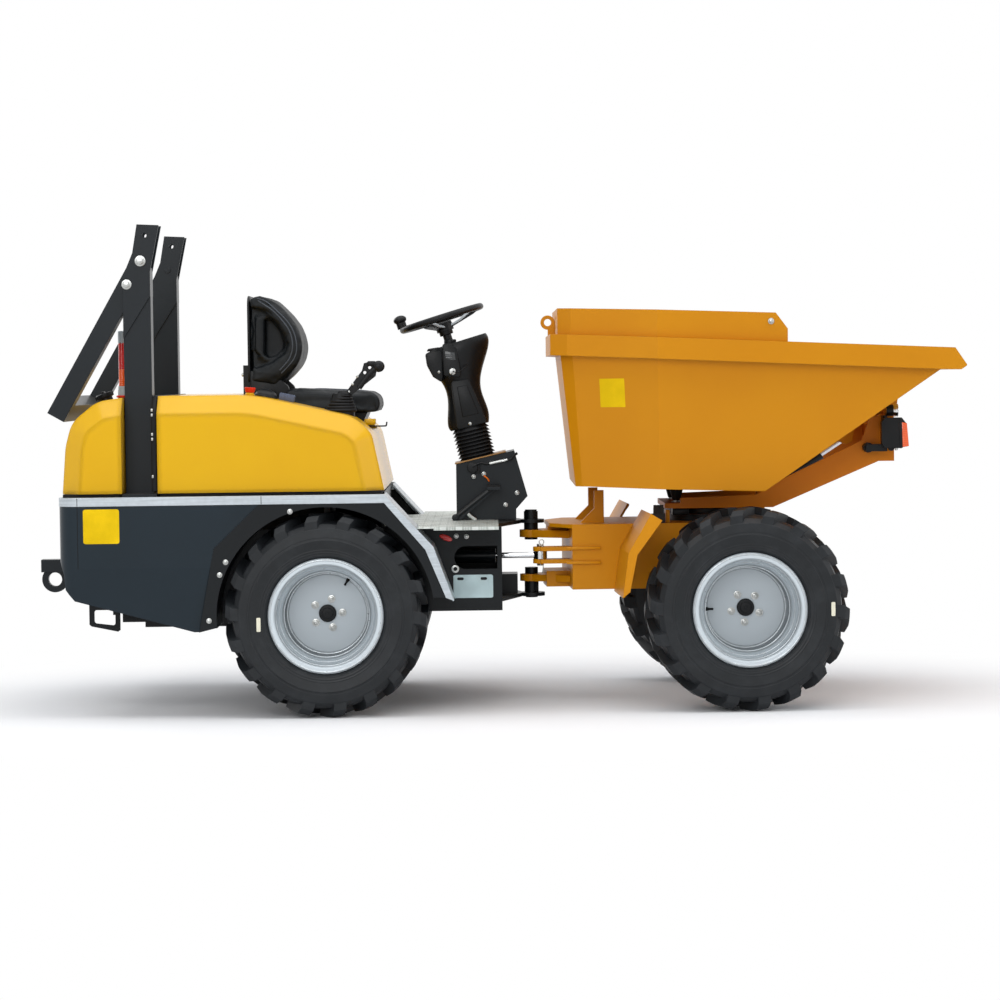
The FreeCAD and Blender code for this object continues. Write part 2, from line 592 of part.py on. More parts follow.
def rounded_plan(name, inset, front, low, high):
    """Pad the rear body's plan, with rounded rear corners, inset from its outside."""
    rear = f"body_rear + {inset}"
    half = f"body_half - {inset}"
    round_off = f"(corner_radius - {inset})"
    middle = box(f"{name}_middle", (rear, front), (f"-({half}) + {round_off}", f"{half} - {round_off}"),
                 (low, high))
    wide = box(f"{name}_wide", (f"{rear} + {round_off}", front), (f"-({half})", half), (low, high))
    corners = [rod(f"{name}_corner_{side}", "Z",
                   (f"{rear} + {round_off}", f"{sign} * ({half} - {round_off})"), round_off, low, high)
               for side, sign in (("right", -1), ("left", 1))]
    return fuse(f"{name}_plan", middle, wide, *corners)


def tail_skirt():
    """Make the rear body below the band: one wall round the tail, cut to the side outline."""
    upright = rounded_plan("skirt_outer", "0", "skirt_front", "skirt_low", "band_low")
    rear, front, half = "body_rear - 60", "skirt_front + 60", "body_half"
    lean = fuse("skirt_leaning",
                plan_prism("skirt_foot",
                           [(rear, f"-{half}"), (front, f"-{half}"), (front, half), (rear, half)],
                           "skirt_low - 1", "skirt_crease", "-skirt_lean"),
                box("skirt_head", (rear, front), (f"-{half}", half), ("skirt_crease", "band_low + 1")))
    outer = common("skirt_leaned", upright, lean)
    inner = rounded_plan("skirt_inner", "skirt_wall", "skirt_front + 1", "skirt_low - 1", "band_low + 1")
    side = side_prism("skirt_side",
                      [("body_rear - 1", "band_low"), ("skirt_front", "band_low"),
                       ("skirt_knee_x", "skirt_knee_z"), ("skirt_toe_x", "skirt_low"),
                       ("skirt_toe_x - 20", "skirt_low"), ("skirt_heel_x", "skirt_heel_z"),
                       ("skirt_back_x", "skirt_back_z"), ("skirt_back_x - 6", "skirt_crease - 20"),
                       ("body_rear - 1", "skirt_crease + 35")],
                      "-body_half - 1", "body_half + 1")
    wall = cut("skirt_hollow", outer, inner)
    node("tail_skirt", held(common("skirt_cut", wall, side)))


def trim_band():
    """Make the bright trim: the band round the body and the folded edge of each fender."""
    outer = rounded_plan("band_outer", "-2", "fender_nose_x", "band_low", "band_high")
    inner = rounded_plan("band_inner", "skirt_wall", "fender_nose_x + 1", "band_low - 1", "band_high + 1")
    trim = doc.addObject("Part::Compound", "trim")
    trim.Links = [cut("band_ring", outer, inner), fender_edges()]
    node("trim_band", held(trim))


FENDER_SIDE = [("skirt_front", "band_low"), ("fender_nose_x", "band_low"),
               ("fender_knee_x - edge_width", "fender_knee_z - 11"),
               ("fender_toe_x - edge_width", "fender_toe_z + 12"),
               ("rear_axle_x + arch_radius - 4", "fender_toe_z + 12"),
               ("rear_axle_x + arch_radius - 4", "tyre_radius"),
               ("rear_axle_x - arch_radius - 4", "tyre_radius - 40"),
               ("skirt_toe_x", "skirt_low"), ("skirt_knee_x", "skirt_knee_z")]


def fenders():
    """Make the two rear fenders: a side plate and the arch over the tyre."""
    axis = ("rear_axle_x", "tyre_radius")
    for side in ("left", "right"):
        plate = side_prism(f"{side}_fender_plate", FENDER_SIDE,
                           *on_side(side, "body_half - fender_wall", "body_half"))
        block = side_prism(f"{side}_fender_block", FENDER_SIDE,
                           *on_side(side, "fender_inner", "body_half"))
        through = on_side(side, "fender_inner - 1", "body_half + 1")
        arch = common(f"{side}_fender_arch", block,
                      rod(f"{side}_arch_outside", "Y", axis, "arch_radius + arch_wall", *through))
        whole = fuse(f"{side}_fender_whole", plate, arch)
        node(f"fender_{side}", held(cut(f"{side}_fender_cut", whole,
                                        rod(f"{side}_arch_inside", "Y", axis, "arch_radius", *through))))


def fender_edges():
    """Return the bright edges that close the fenders towards the floor."""
    outer = [("fender_nose_x", "band_high"), ("fender_knee_x", "fender_knee_z"),
             ("fender_toe_x", "fender_toe_z")]
    sheet_in = [("fender_toe_x - edge_wall", "fender_toe_z"),
                ("fender_knee_x - edge_wall", "fender_knee_z - 2"), ("fender_nose_x", "band_high - 7")]
    flange_in = [("fender_toe_x - edge_width", "fender_toe_z + 12"),
                 ("fender_knee_x - edge_width", "fender_knee_z - 11"), ("fender_nose_x", "band_low")]
    cover = side_prism("edge_cover", outer + sheet_in, "fender_inner", "body_half + 2")
    flange = side_prism("edge_flange", outer + flange_in, "body_half - 6", "body_half + 2")
    left = fuse("fender_edge_folded", cover, flange)
    return both_sides("fender_edge_pair", left)


def hood_outline(inset):
    """Return the main hood's side outline, inset from its outside."""
    low = "hood_low" if inset == "0" else "hood_low - 1"
    return [(f"hood_rear + {inset}", low), (f"hood_rear + {inset}", f"hood_top - {inset}"),
            (f"hood_bend_x - {inset} * 0.2", f"hood_top - {inset}"),
            (f"hood_nose_top_x - {inset} * 0.6", f"hood_nose_top_z - {inset}"),
            (f"hood_nose_x - {inset}", f"hood_nose_z - {inset} * 0.8"),
            (f"hood_front - {inset}", low)]


def tail_outline(inset):
    """Return the tail hood's side outline, inset from its outside."""
    low = "hood_low" if inset == "0" else "hood_low - 1"
    return [(f"tail_front - {inset}", low), (f"tail_front - {inset}", f"tail_top - {inset}"),
            (f"tail_shoulder_x + {inset} * 0.3", f"tail_shoulder_z - {inset}"),
            (f"tail_bend_x + {inset} * 0.8", f"tail_bend_z - {inset} * 0.8"),
            (f"tail_back_x + {inset}", f"tail_back_z - {inset} * 0.2"), (f"tail_rear + {inset}", low)]


def on_hood_crease(edge):
    """Tell whether an edge runs along a side face of a hood, above its foot and off its end wall."""
    first, last = (vertex.Point for vertex in edge.Vertexes)
    lies_on_side = abs(first.y - last.y) < 0.01
    upright = abs(first.x - last.x) < 0.01
    return lies_on_side and not upright and max(first.z, last.z) > size("hood_low") + 50


def hood_shell(name, outline, radii):
    """Make a hood: a hollow sheet shell with rounded bends and bevelled upper side edges."""
    shells = []
    for layer, inset in (("outer", "0"), ("inner", "hood_wall")):
        half = f"hood_half - {inset}"
        body = side_prism(f"{name}_{layer}", outline(inset), f"-({half})", half)
        rounded_corners(body, {turn: f"{radius} - {inset}" for turn, radius in radii.items()})
        shells.append(edged(body, "Chamfer", on_hood_crease, Size="band_fall"))
    return cut(f"{name}_shell", *shells)


def hoods():
    """Make the main hood over the engine and the tail hood behind the roll bar."""
    main = hood_shell("hood_main", hood_outline,
                      {2: "hood_bend_round", 3: "hood_nose_round", 4: "hood_chin_round"})
    well = [box(f"seat_well_{layer}", (f"well_rear - {wall}", "hood_front + 1"),
                (f"-seat_half - well_gap - {wall}", f"seat_half + well_gap + {wall}"),
                (f"well_low - {wall}", "hood_top + 1"))
            for layer, wall in (("liner", "hood_wall"), ("room", "0"))]
    liner = common("well_liner", main.Base, well[0])
    node("hood_main", held(cut("hood_main_open", fuse("hood_main_lined", main, liner), well[1])))
    node("hood_tail", held(hood_shell("hood_tail", tail_outline,
                                      {2: "tail_round", 3: "tail_round", 4: "tail_back_round"})))
    under = [box("seal_main", ("hood_rear + 8", "hood_front - 8"), ("-hood_half + 8", "hood_half - 8"),
                 ("band_high", "hood_low")),
             box("seal_tail", ("tail_rear + 8", "tail_front - 8"), ("-hood_half + 8", "hood_half - 8"),
                 ("band_high", "hood_low"))]
    holes = [box("seal_main_hole", ("hood_rear + 40", "hood_front - 40"),
                 ("-hood_half + 40", "hood_half - 40"), ("band_high - 1", "hood_low + 1")),
             box("seal_tail_hole", ("tail_rear + 40", "tail_front - 40"),
                 ("-hood_half + 40", "hood_half - 40"), ("band_high - 1", "hood_low + 1"))]
    rims = [cut(f"{solid.Name}_ring", solid, hole) for solid, hole in zip(under, holes)]
    seals = doc.addObject("Part::Compound", "hood_seal_pair")
    seals.Links = rims
    node("hood_seals", held(seals))


def engine():
    """Make the engine as one plain block on the chassis."""
    block = box("engine_block", ("engine_rear", "engine_front"), ("-engine_half", "engine_half"),
                ("engine_low", "engine_high"))
    feet = both_sides("engine_feet", box("engine_foot", ("engine_rear + 60", "engine_front - 60"),
                                         ("engine_half", "frame_half - frame_wall"),
                                         ("engine_low", "engine_low + frame_wall")))
    node("engine", held(fuse("engine_body", block, feet)))


def rops_posts():
    """Make the two fixed posts of the roll bar, each with the fork plates that hold the hoop."""
    tube = side_prism("post_tube",
                      [("post_rear", "post_base"), ("post_front", "post_base"),
                       ("post_front", "hinge_z - 24"), ("post_rear", "hinge_z - 204")],
                      "post_inner", "post_outer")
    bore = side_prism("post_bore",
                      [("post_rear + post_wall", "post_base + post_foot"),
                       ("post_front - post_wall", "post_base + post_foot"),
                       ("post_front - post_wall", "hinge_z + 100"),
                       ("post_rear + post_wall", "hinge_z + 100")],
                      "post_inner + post_wall", "post_outer - post_wall")
    profile = [("post_rear", "hinge_z - 290"), ("post_front", "hinge_z - 130"),
               ("post_front", "hinge_z - 40"), ("hinge_x + 70", "plate_top - 4"),
               ("hinge_x - 12", "plate_top"), ("hinge_x - 30", "hinge_z + 30"),
               ("post_rear", "hinge_z - 60")]
    plates = [side_prism("fork_outer", profile, "post_outer", "post_outer + fork_plate"),
              side_prism("fork_inner", profile, "post_inner - fork_plate", "post_inner")]
    foot = box("post_foot_plate", ("post_rear - 2", "post_front + 24"),
               ("frame_half - frame_wall", "body_half - skirt_wall"),
               ("post_base", "post_base + post_foot"))
    stay = box("post_stay", ("post_rear", "post_front"), ("frame_half - frame_wall", "frame_half"),
               ("frame_high", "post_base"))
    bolt = rod("hinge_pin", "Y", ("hinge_x", "hinge_z"), "hinge_bolt", "post_inner - fork_plate - 6",
               "post_outer + fork_plate + 6")
    head = rod("hinge_head", "Y", ("hinge_x", "hinge_z"), "hinge_bolt + 7", "post_outer + fork_plate",
               "post_outer + fork_plate + 6")
    hole = rod("lock_bore", "Y", ("hinge_x + lock_reach * sin(raised_lean)",
                                  "hinge_z + lock_reach * cos(raised_lean)"), "lock_hole",
               "post_inner - fork_plate - 1", "post_outer + fork_plate + 1")
    post = fuse("rops_post", cut("post_hollow", tube, bore), cut("fork_plates", fuse("fork_pair", *plates),
                hole), foot, stay, bolt, head)
    node("rops_posts", held(both_sides("rops_post_pair", post)))


def rops_hoop():
    """Make the folding hoop of the roll bar, drawn hanging straight and turned to its folded angle.

    It is one hollow square tube, closed at the hinge by a solid end that carries both bores.
    """
    half = "hoop_depth / 2"
    gap = "hoop_gap"
    outer = f"post_outer - {gap}"
    inner = f"post_inner + {gap}"
    leg = box("hoop_leg", (f"-{half}", half), (inner, outer), ("-hoop_reach + hoop_depth", "0"))
    knuckle = rod("hoop_knuckle", "Y", ("0", "0"), half, inner, outer)
    bar = box("hoop_bar", (f"-{half}", half), (f"-({outer})", outer),
              ("-hoop_reach", "-hoop_reach + hoop_depth"))
    bores = [rod("hoop_hinge_bore", "Y", ("0", "0"), "hinge_bolt + running_gap", "0", f"{outer} + 1"),
             rod("hoop_lock_bore", "Y", ("0", "-lock_reach"), "lock_hole", "0", f"{outer} + 1")]
    hollow = box("hoop_leg_hollow", (f"-{half} + hoop_wall", f"{half} - hoop_wall"),
                 (f"{inner} + hoop_wall", f"{outer} - hoop_wall"), ("-hoop_reach + hoop_wall", "-hoop_head"))
    pair = both_sides("hoop_legs", fuse("hoop_leg_end", leg, knuckle))
    bar_hollow = box("hoop_bar_hollow", (f"-{half} + hoop_wall", f"{half} - hoop_wall"),
                     (f"-({outer}) + hoop_wall", f"{outer} - hoop_wall"),
                     ("-hoop_reach + hoop_wall", "-hoop_reach + hoop_depth - hoop_wall"))
    hollows = fuse("hoop_hollows", both_sides("hoop_leg_hollows", hollow), bar_hollow)
    hoop = cut("hoop_body", fuse("hoop_solid", pair, bar), hollows,
               *[both_sides(f"{bore.Name}_pair", bore) for bore in bores])
    hoop.Placement = Placement(Vector(), Rotation(Vector(0, 1, 0), 1))
    bind(hoop, Placement__Rotation__Angle="90 - hoop_angle")
    node("rops_hoop", held(hoop, "hinge_x", "0", "hinge_z"))


# The seat back's side outline: places forward of its rear and below its top
BACK_SIDE = [(0, 15), (43, 0), (97, 32), (151, 87), (197, 157), (211, 219), (197, 265), (166, 311),
             (132, 342), (97, 373), (4, 357)]


def seat():
    """Make the seat: a base with its rear bracket, a cushion and a back."""
    toe, heel = BACK_SIDE[-2:]
    base = side_prism("seat_base_body",
                      [("seat_rear - bracket_wall", "well_low"), ("seat_front - 90", "well_low"),
                       ("seat_front - 60", "cushion_low"), ("cushion_rear", "cushion_low"),
                       (f"seat_rear + {toe[0]}", f"back_high - {toe[1]} - running_gap"),
                       (f"seat_rear + {heel[0]} - running_gap", f"back_high - {heel[1]} - running_gap"),
                       ("seat_rear + 3 - running_gap", "bracket_high"),
                       ("seat_rear - bracket_wall", "bracket_high")],
                      "-seat_half + 50", "seat_half - 50")
    node("seat_base", held(base))
    cushion = side_prism("seat_cushion_body",
                         [("cushion_rear", "cushion_low"), ("seat_front - 18", "cushion_low"),
                          ("seat_front", "cushion_low + 20"), ("seat_front - 3", "cushion_high - 40"),
                          ("seat_front - 22", "cushion_high - 21"), ("cushion_rear", "cushion_high")],
                         "-seat_half", "seat_half")
    node("seat_cushion", held(cushion))
    back = side_prism("seat_back_body",
                      [(f"seat_rear + {reach}", f"back_high - {fall}") for reach, fall in BACK_SIDE],
                      "-seat_half + 10", "seat_half - 10")
    node("seat_back", held(back))


# The travel lever's side outline: places forward of its foot and above it
LEVER_SIDE = [(8, 58), (36, 58), (135, 134), (142, 168), (121, 192), (91, 184), (83, 156)]


def control_lever():
    """Make the travel lever: a gaiter on the hood and a flat plate that leans forward."""
    foot = doc.addObject("Part::Cone", "gaiter")
    bind(foot, Radius1="gaiter_radius", Radius2="gaiter_radius * 0.6", Height="gaiter_height",
         Placement__Base__x="lever_x", Placement__Base__y="lever_y", Placement__Base__z="lever_foot")
    thick = ("lever_y - lever_wall / 2", "lever_y + lever_wall / 2")
    plate = side_prism("lever_plate",
                       [(f"lever_x + {reach}", f"lever_foot + {rise}") for reach, rise in LEVER_SIDE], *thick)
    holes = [rod(f"lever_hole_{index}", "Y", (f"lever_x + {reach}", f"lever_foot + {rise}"), "lever_hole",
                 f"{thick[0]} - 1", f"{thick[1]} + 1")
             for index, (reach, rise) in enumerate(((94, 148), (113, 167)))]
    collar = rod("lever_collar", "Z", ("lever_x", "lever_y"), "gaiter_radius + 4", "hood_nose_top_z - 20",
                 "lever_foot")
    seated = cut("lever_seated", fuse("lever_gaiter", foot, collar), doc.getObject("hood_main_outer"))
    node("control_lever", held(fuse("lever_body", seated, cut("lever_drilled", plate, *holes))))


def pedestal():
    """Make the hollow console that carries the steering column."""
    def outline(inset):
        low = "floor_top" if inset == "0" else "floor_top - 1"
        return [(f"pedestal_rear + {inset}", low),
                (f"pedestal_rear + {inset}", f"pedestal_top_rear - {inset}"),
                (f"pedestal_front - 5 - {inset}", f"pedestal_top_front - {inset}"),
                (f"pedestal_nose_x - {inset}", "pedestal_nose_z"),
                (f"pedestal_front - {inset}", "pedestal_chin_z"), (f"pedestal_front - {inset}", low)]
    outer = side_prism("console_outer", outline("0"), "-pedestal_half", "pedestal_half")
    inner = side_prism("console_inner", outline("pedestal_wall"), "-pedestal_half + pedestal_wall",
                       "pedestal_half - pedestal_wall")
    node("pedestal", held(cut("console_shell", outer, inner)))


def ellipse(name, x, z, along, across, tilt):
    """Draw one level ellipse of the column, tilted about the Y axis."""
    item = doc.addObject("Part::Ellipse", name)
    item.Placement = Placement(Vector(), Rotation(Vector(0, 1, 0), 1))
    return bind(item, MajorRadius=along, MinorRadius=across, Placement__Base__x=x,
                Placement__Base__z=z, Placement__Rotation__Angle=tilt)


def loft(name, sections):
    """Run a smooth closed skin through a row of sections."""
    item = doc.addObject("Part::Loft", name)
    item.Sections = sections
    item.Solid = True
    return item


def column():
    """Make the steering column: a ringed bellows on the console and the cover above it."""
    cover = loft("column_cover_body",
                 [ellipse("cover_foot", "bellows_top_x", "bellows_top_z + running_gap", "76", "62",
                          "-console_tilt"),
                  ellipse("cover_neck", "neck_x", "neck_z", "68", "56", "-console_tilt"),
                  ellipse("cover_waist", "neck_x - 14", "neck_z + 76", "90", "68", "-console_tilt"),
                  ellipse("cover_head", "head_x - 4", "head_z - 46", "128", "84", "-wheel_tilt"),
                  ellipse("cover_top", "head_x", "head_z", "112", "76", "-wheel_tilt")])
    node("column_cover", held(cover))
    rise = "bellows_length / bellows_rings"
    rings = []
    for turn in range(int(size("bellows_rings"))):
        ring = doc.addObject("Part::Cone", f"bellows_{turn}")
        bind(ring, Radius1="bellows_radius + bellows_depth", Radius2="bellows_radius", Height=rise,
             Placement__Base__z=f"{turn} * {rise}")
        rings.append(ring)
    bellows = fuse("bellows_body", *rings)
    bellows.Placement = Placement(Vector(), Rotation(Vector(0, 1, 0), 1))
    bind(bellows, Placement__Rotation__Angle="-console_tilt")
    node("column_bellows", held(bellows, "bellows_x", "0", "console_top_z + running_gap"))


def steering_wheel():
    """Make the steering wheel: rim, three spokes, hub and knob, drawn level and tilted as one."""
    rim = doc.addObject("Part::Torus", "steering_rim")
    bind(rim, Radius1="wheel_radius", Radius2="wheel_grip")
    hub = rod("steering_hub", "Z", ("0", "0"), "34", "-wheel_dish", "-wheel_dish + 26")
    shaft = rod("steering_shaft", "Z", ("0", "0"), "17", "-wheel_drop + running_gap", "-wheel_dish")
    spokes = []
    for turn, angle in enumerate((0, 120, 240)):
        spoke = side_prism(f"spoke_{turn}",
                           [("20", "-wheel_dish + 6"), ("20", "-wheel_dish + 16"),
                            ("wheel_radius - 40", "-10"), ("wheel_radius", "5"), ("wheel_radius", "-5"),
                            ("wheel_radius - 34", "-20")], "-14", "14")
        spoke.Placement = Placement(Vector(), Rotation(Vector(0, 0, 1), angle))
        spokes.append(spoke)
    knob = rod("steering_knob", "Z", ("-wheel_radius", "0"), "19", "wheel_grip - 5", "wheel_grip + 34")
    wheel = fuse("steering_wheel_body", rim, hub, shaft, knob, *spokes)
    wheel.Placement = Placement(Vector(), Rotation(Vector(0, 1, 0), 1))
    bind(wheel, Placement__Rotation__Angle="-wheel_tilt")
    node("steering_wheel", held(wheel, "wheel_hub_x", "0", "wheel_hub_z"))


def pedals():
    """Make the brake pedal beside the console, on its arm from the floor."""
    arm = side_prism("pedal_arm",
                     [("pedestal_rear - 12", "floor_top"), ("pedestal_rear + 14", "floor_top"),
                      ("pedestal_front - 78", "floor_top + 120"), ("pedestal_front - 96", "floor_top + 128")],
                     "-pedestal_half - 46", "-pedestal_half - 34")
    pad = box("pedal_pad", ("pedestal_front - 112", "pedestal_front - 62"),
              ("-pedestal_half - 84", "-pedestal_half - 6"), ("floor_top + 118", "floor_top + 130"))
    node("pedals", held(fuse("pedal_body", arm, pad)))


def beacon():
    """Make the slim lamp that stands on the tail hood beside the roll bar."""
    foot = cut("beacon_foot_seated",
               rod("beacon_foot", "Z", ("beacon_x", "beacon_y"), "17", "tail_shoulder_z - 20",
                   "tail_top + 34"), doc.getObject("hood_tail_outer"))
    stem = rod("beacon_stem", "Z", ("beacon_x", "beacon_y"), "14", "tail_top + 34", "tail_top + 253")
    node("beacon", held(fuse("beacon_body", foot, stem)))


def tow_hitch():
    """Make the tow hitch: a beam from the plate on the tail with a closed ring under it."""
    plate = box("hitch_plate", ("body_rear - hitch_wall", "body_rear"),
                ("-hitch_half - 40", "hitch_half + 40"), ("ring_z - ring_outer", "hitch_high + 45"))
    beam = box("hitch_beam", ("hitch_rear", "body_rear - hitch_wall"), ("-hitch_half", "hitch_half"),
               ("hitch_low", "hitch_high"))
    ring = rod("hitch_ring", "Y", ("ring_x", "ring_z"), "ring_outer", "-ring_half", "ring_half")
    web = box("hitch_web", ("ring_x", "body_rear - hitch_wall"), ("-ring_half", "ring_half"),
              ("ring_z", "hitch_low"))
    hole = rod("hitch_hole", "Y", ("ring_x", "ring_z"), "ring_eye", "-ring_half - 1", "ring_half + 1")
    lug = cut("hitch_lug_open", fuse("hitch_lug", ring, web), hole)
    node("tow_hitch", held(fuse("hitch_body", plate, beam, lug)))


# Front unit

def front_frame():
    """Make the front chassis: a box of plates, the two tongues and the steering clevis."""
    inner = "chassis_half - chassis_wall"
    outer = box("chassis_outer", ("chassis_rear", "chassis_front"), ("-chassis_half", "chassis_half"),
                ("chassis_low", "chassis_high"))
    hollow = box("chassis_hollow", ("chassis_rear + chassis_wall", "chassis_front - chassis_wall"),
                 (f"-({inner})", inner), ("chassis_low - 1", "chassis_high - chassis_wall"))
    keep = box("axle_seat", ("front_axle_x - 70", "front_axle_x + 70"), (f"-({inner})", inner),
               ("chassis_low", "chassis_low + 60"))
    pieces = [cut("chassis_box", outer, hollow), keep]
    plan = [("0", "-tongue_eye"), ("chassis_rear", "-tongue_half"), ("chassis_rear", "tongue_half"),
            ("0", "tongue_eye")]
    for name in ("upper", "lower"):
        low, high = f"{name}_tongue_low", f"{name}_tongue_high"
        pieces.append(plan_prism(f"{name}_tongue", plan, low, high))
        pieces.append(rod(f"{name}_tongue_eye", "Z", ("0", "0"), "tongue_eye", low, high))
    pieces.append(plan_prism("tongue_gusset",
                             [("gusset_rear", "-tongue_half"), ("chassis_rear", "-chassis_half"),
                              ("chassis_rear", "chassis_half"), ("gusset_rear", "tongue_half")],
                             "chassis_high - chassis_wall", "chassis_high"))
    pieces.append(box("tongue_web", ("gusset_rear", "chassis_rear"), ("-spine_half", "spine_half"),
                      ("upper_tongue_low", "chassis_high")))
    pieces.append(box("tongue_block", ("tongue_eye + 8", "chassis_rear"), ("-tongue_half + 40",
                      "tongue_half - 40"), ("chassis_low", "lower_tongue_high + 16")))
    for name, low, high in (("low", "clevis_low", "clevis_low + clevis_wall"),
                            ("high", "clevis_high - clevis_wall", "clevis_high")):
        pieces.append(box(f"clevis_{name}", ("clevis_x", "chassis_rear"),
                          ("clevis_y - clevis_half", "clevis_y + clevis_half"), (low, high)))
        pieces.append(rod(f"clevis_{name}_end", "Z", ("clevis_x", "clevis_y"), "clevis_half - 14", low,
                          high))
    rest = side_prism("rest_post",
                      [("rest_rear - 55", "chassis_high"), ("rest_front", "chassis_high"),
                       ("rest_front", "rest_high"), ("rest_rear", "rest_high"),
                       ("rest_rear", "chassis_high + 55")],
                      "rest_y - rest_wall / 2", "rest_y + rest_wall / 2")
    pieces.append(both_sides("rest_posts", rest))
    frame = fuse("front_frame_body", *pieces)
    bore = rod("tongue_bore", "Z", ("0", "0"), "pin_radius + running_gap", "0", "chassis_high")
    node("front_frame", steered(cut("front_frame_bored", frame, bore)))
    node("slew_ring", steered(cut("slew_ring_bored",
                                  rod("slew_ring_disc", "Z", ("swivel_x", "0"), "ring_radius",
                                      "chassis_high", "ring_split"),
                                  rod("slew_ring_hole", "Z", ("swivel_x", "0"), "ring_bore",
                                      "chassis_high - 1", "ring_split + 1"))))


def mudguards():
    """Make the two front mudguards: bent plates behind the tyres, folded forward at their outer edge."""
    wall = "guard_wall"
    rear = [("guard_top_x", "guard_top_z"), ("guard_knee_x", "guard_knee_z"), ("guard_toe_x", "guard_toe_z")]
    sheet = rear + [(f"guard_toe_x + {wall}", f"guard_toe_z + {wall} / 2"),
                    (f"guard_knee_x + {wall}", "guard_knee_z - 3"),
                    (f"guard_top_x + {wall}", f"guard_top_z - {wall} / 2")]
    fold = rear + [("guard_toe_x + guard_fold * 0.9", "guard_toe_z + guard_fold * 0.7"),
                   ("guard_knee_x + guard_fold * 1.1", "guard_knee_z - guard_fold * 0.25"),
                   ("guard_top_x + guard_fold * 1.4", "guard_top_z - guard_fold * 0.85")]
    for side in ("left", "right"):
        across = on_side(side, "chassis_half", "body_half")
        edge = on_side(side, f"body_half - {wall}", "body_half")
        guard = fuse(f"mudguard_{side}_body", side_prism(f"guard_{side}_sheet", sheet, *across),
                     side_prism(f"guard_{side}_fold", fold, *edge))
        node(f"mudguard_{side}", steered(guard))


# Turntable frame and skip

# A front indicator's side outline: places forward of the beam's end and above its lower edge
INDICATOR_SIDE = [(0, 70), (12, 52), (70, 52), (103, 59), (95, 145), (77, 168), (12, 168), (0, 152)]


def swivel_frame():
    """Make the frame on the turntable: ring, base plate, two beams, cross box and hinge ears."""
    ring = cut("table_ring_bored",
               rod("table_ring", "Z", ("swivel_x", "0"), "ring_radius", "running_gap - ring_turning", "0"),
               rod("table_hole", "Z", ("swivel_x", "0"), "ring_bore", "-ring_turning", "1"))
    half = "beam_y + beam_wall / 2"
    base = fuse("table_plates",
                box("table_base", ("table_rear", "table_front"), (f"-({half})", half),
                    ("0", "table_wall")),
                box("table_tongue", ("table_front", "lift_low_x + 40"), ("-90", "90"),
                    ("0", "table_wall")))
    side = side_prism("beam_side",
                      [("table_rear + 60", "0"), ("table_front", "0"),
                       ("beam_front", "beam_front_low"), ("beam_front", "beam_front_high"),
                       ("beam_front - 30", "beam_front_high"), ("beam_shoulder_x", "beam_shoulder_z"),
                       ("beam_foot_x - 60", "beam_foot_z - 28"),
                       ("skip_low_front_x - 10", "skip_low_front_z - 22"),
                       ("table_rear + 60", "40")],
                      "beam_y - beam_wall / 2", half)
    ear = fuse("frame_ear",
               box("ear_block", ("beam_front", "tip_x + 16"), ("ear_y + ear_wall + 5", half),
                   ("beam_front_low", "tip_z - 12")),
               rod("ear_round", "Y", ("tip_x", "tip_z"), "tip_eye - 4", "ear_y + ear_wall + 5", half))
    pin = rod("tip_pin_end", "Y", ("tip_x", "tip_z"), "tip_pin", "ear_y - 20", f"{half} + 6")
    sides = both_sides("beam_sides", fuse("beam_and_ear", side, ear, pin))
    cross = side_prism("front_box",
                       [("beam_front - 1", "beam_front_low"), ("lightbox_foot", "beam_front_low"),
                        ("lightbox_front", "tip_z - 60"), ("beam_front - 1", "tip_z - 60")],
                       f"-({half})", half)
    lift = lift_bracket("lift_foot", "lift_low_x", "lift_low_z", "table_wall")
    node("swivel_frame", swung(fuse("swivel_frame_body", ring, base, sides, cross, lift)))
    lamp = rod("headlamp", "X", ("lamp_y", "tip_z + 2"), "lamp_radius", "lightbox_front - 31",
               "lightbox_front + 13")
    stay = box("lamp_stay", ("lightbox_foot - 4", "lightbox_foot + 10"), (half, "indicator_y - 10"),
               ("tip_z - 66", "tip_z - lamp_radius + 5"))
    arm = box("indicator_arm", ("lamp_arm_rear", "lightbox_foot + 10"), (half, "indicator_y - 10"),
              ("beam_front_low + 39", "beam_front_low + 66"))
    boss = rod("indicator_boss", "Y", ("lamp_arm_rear + 12", "beam_front_low + 53"), "19", half,
               "indicator_y - 30")
    blinker = side_prism("indicator",
                         [(f"beam_front + {reach}", f"beam_front_low + {rise}")
                          for reach, rise in INDICATOR_SIDE], "indicator_y - 20", "indicator_y + 20")
    group = fuse("light_group", lamp, stay, arm, boss, blinker)
    node("front_lights", swung(both_sides("front_light_pair", group)))


def lift_bracket(name, x, z, low):
    """Return the foot that holds the tip cylinder's barrel eye on the turntable."""
    cheeks = [box(f"{name}_{side}", (f"{x} - 34", f"{x} + 34"), pair, (low, f"{z} + 20"))
              for side, pair in (("right", ("-lift_eye_pad - 16", "-lift_eye_pad - running_gap")),
                                 ("left", ("lift_eye_pad + running_gap", "lift_eye_pad + 16")))]
    pin = rod(f"{name}_pin", "Y", (x, z), "lift_pin - running_gap", "-lift_eye_pad - 16", "lift_eye_pad + 16")
    return fuse(name, *cheeks, pin)


def skip_plan(grow):
    """Return the skip's plan at its upper edge, grown outwards on every side."""
    right = [(f"skip_rear - {grow}", f"-skip_rear_half - {grow} * 0.4"),
             (f"skip_rear + skip_corner - {grow} * 0.5", f"-skip_corner_half - {grow} * 0.9"),
             ("skip_crease_x", f"-skip_crease_half - {grow}"), ("mouth_x", f"-mouth_half - {grow}")]
    return right + [(x, f"-({y})") for x, y in reversed(right)]


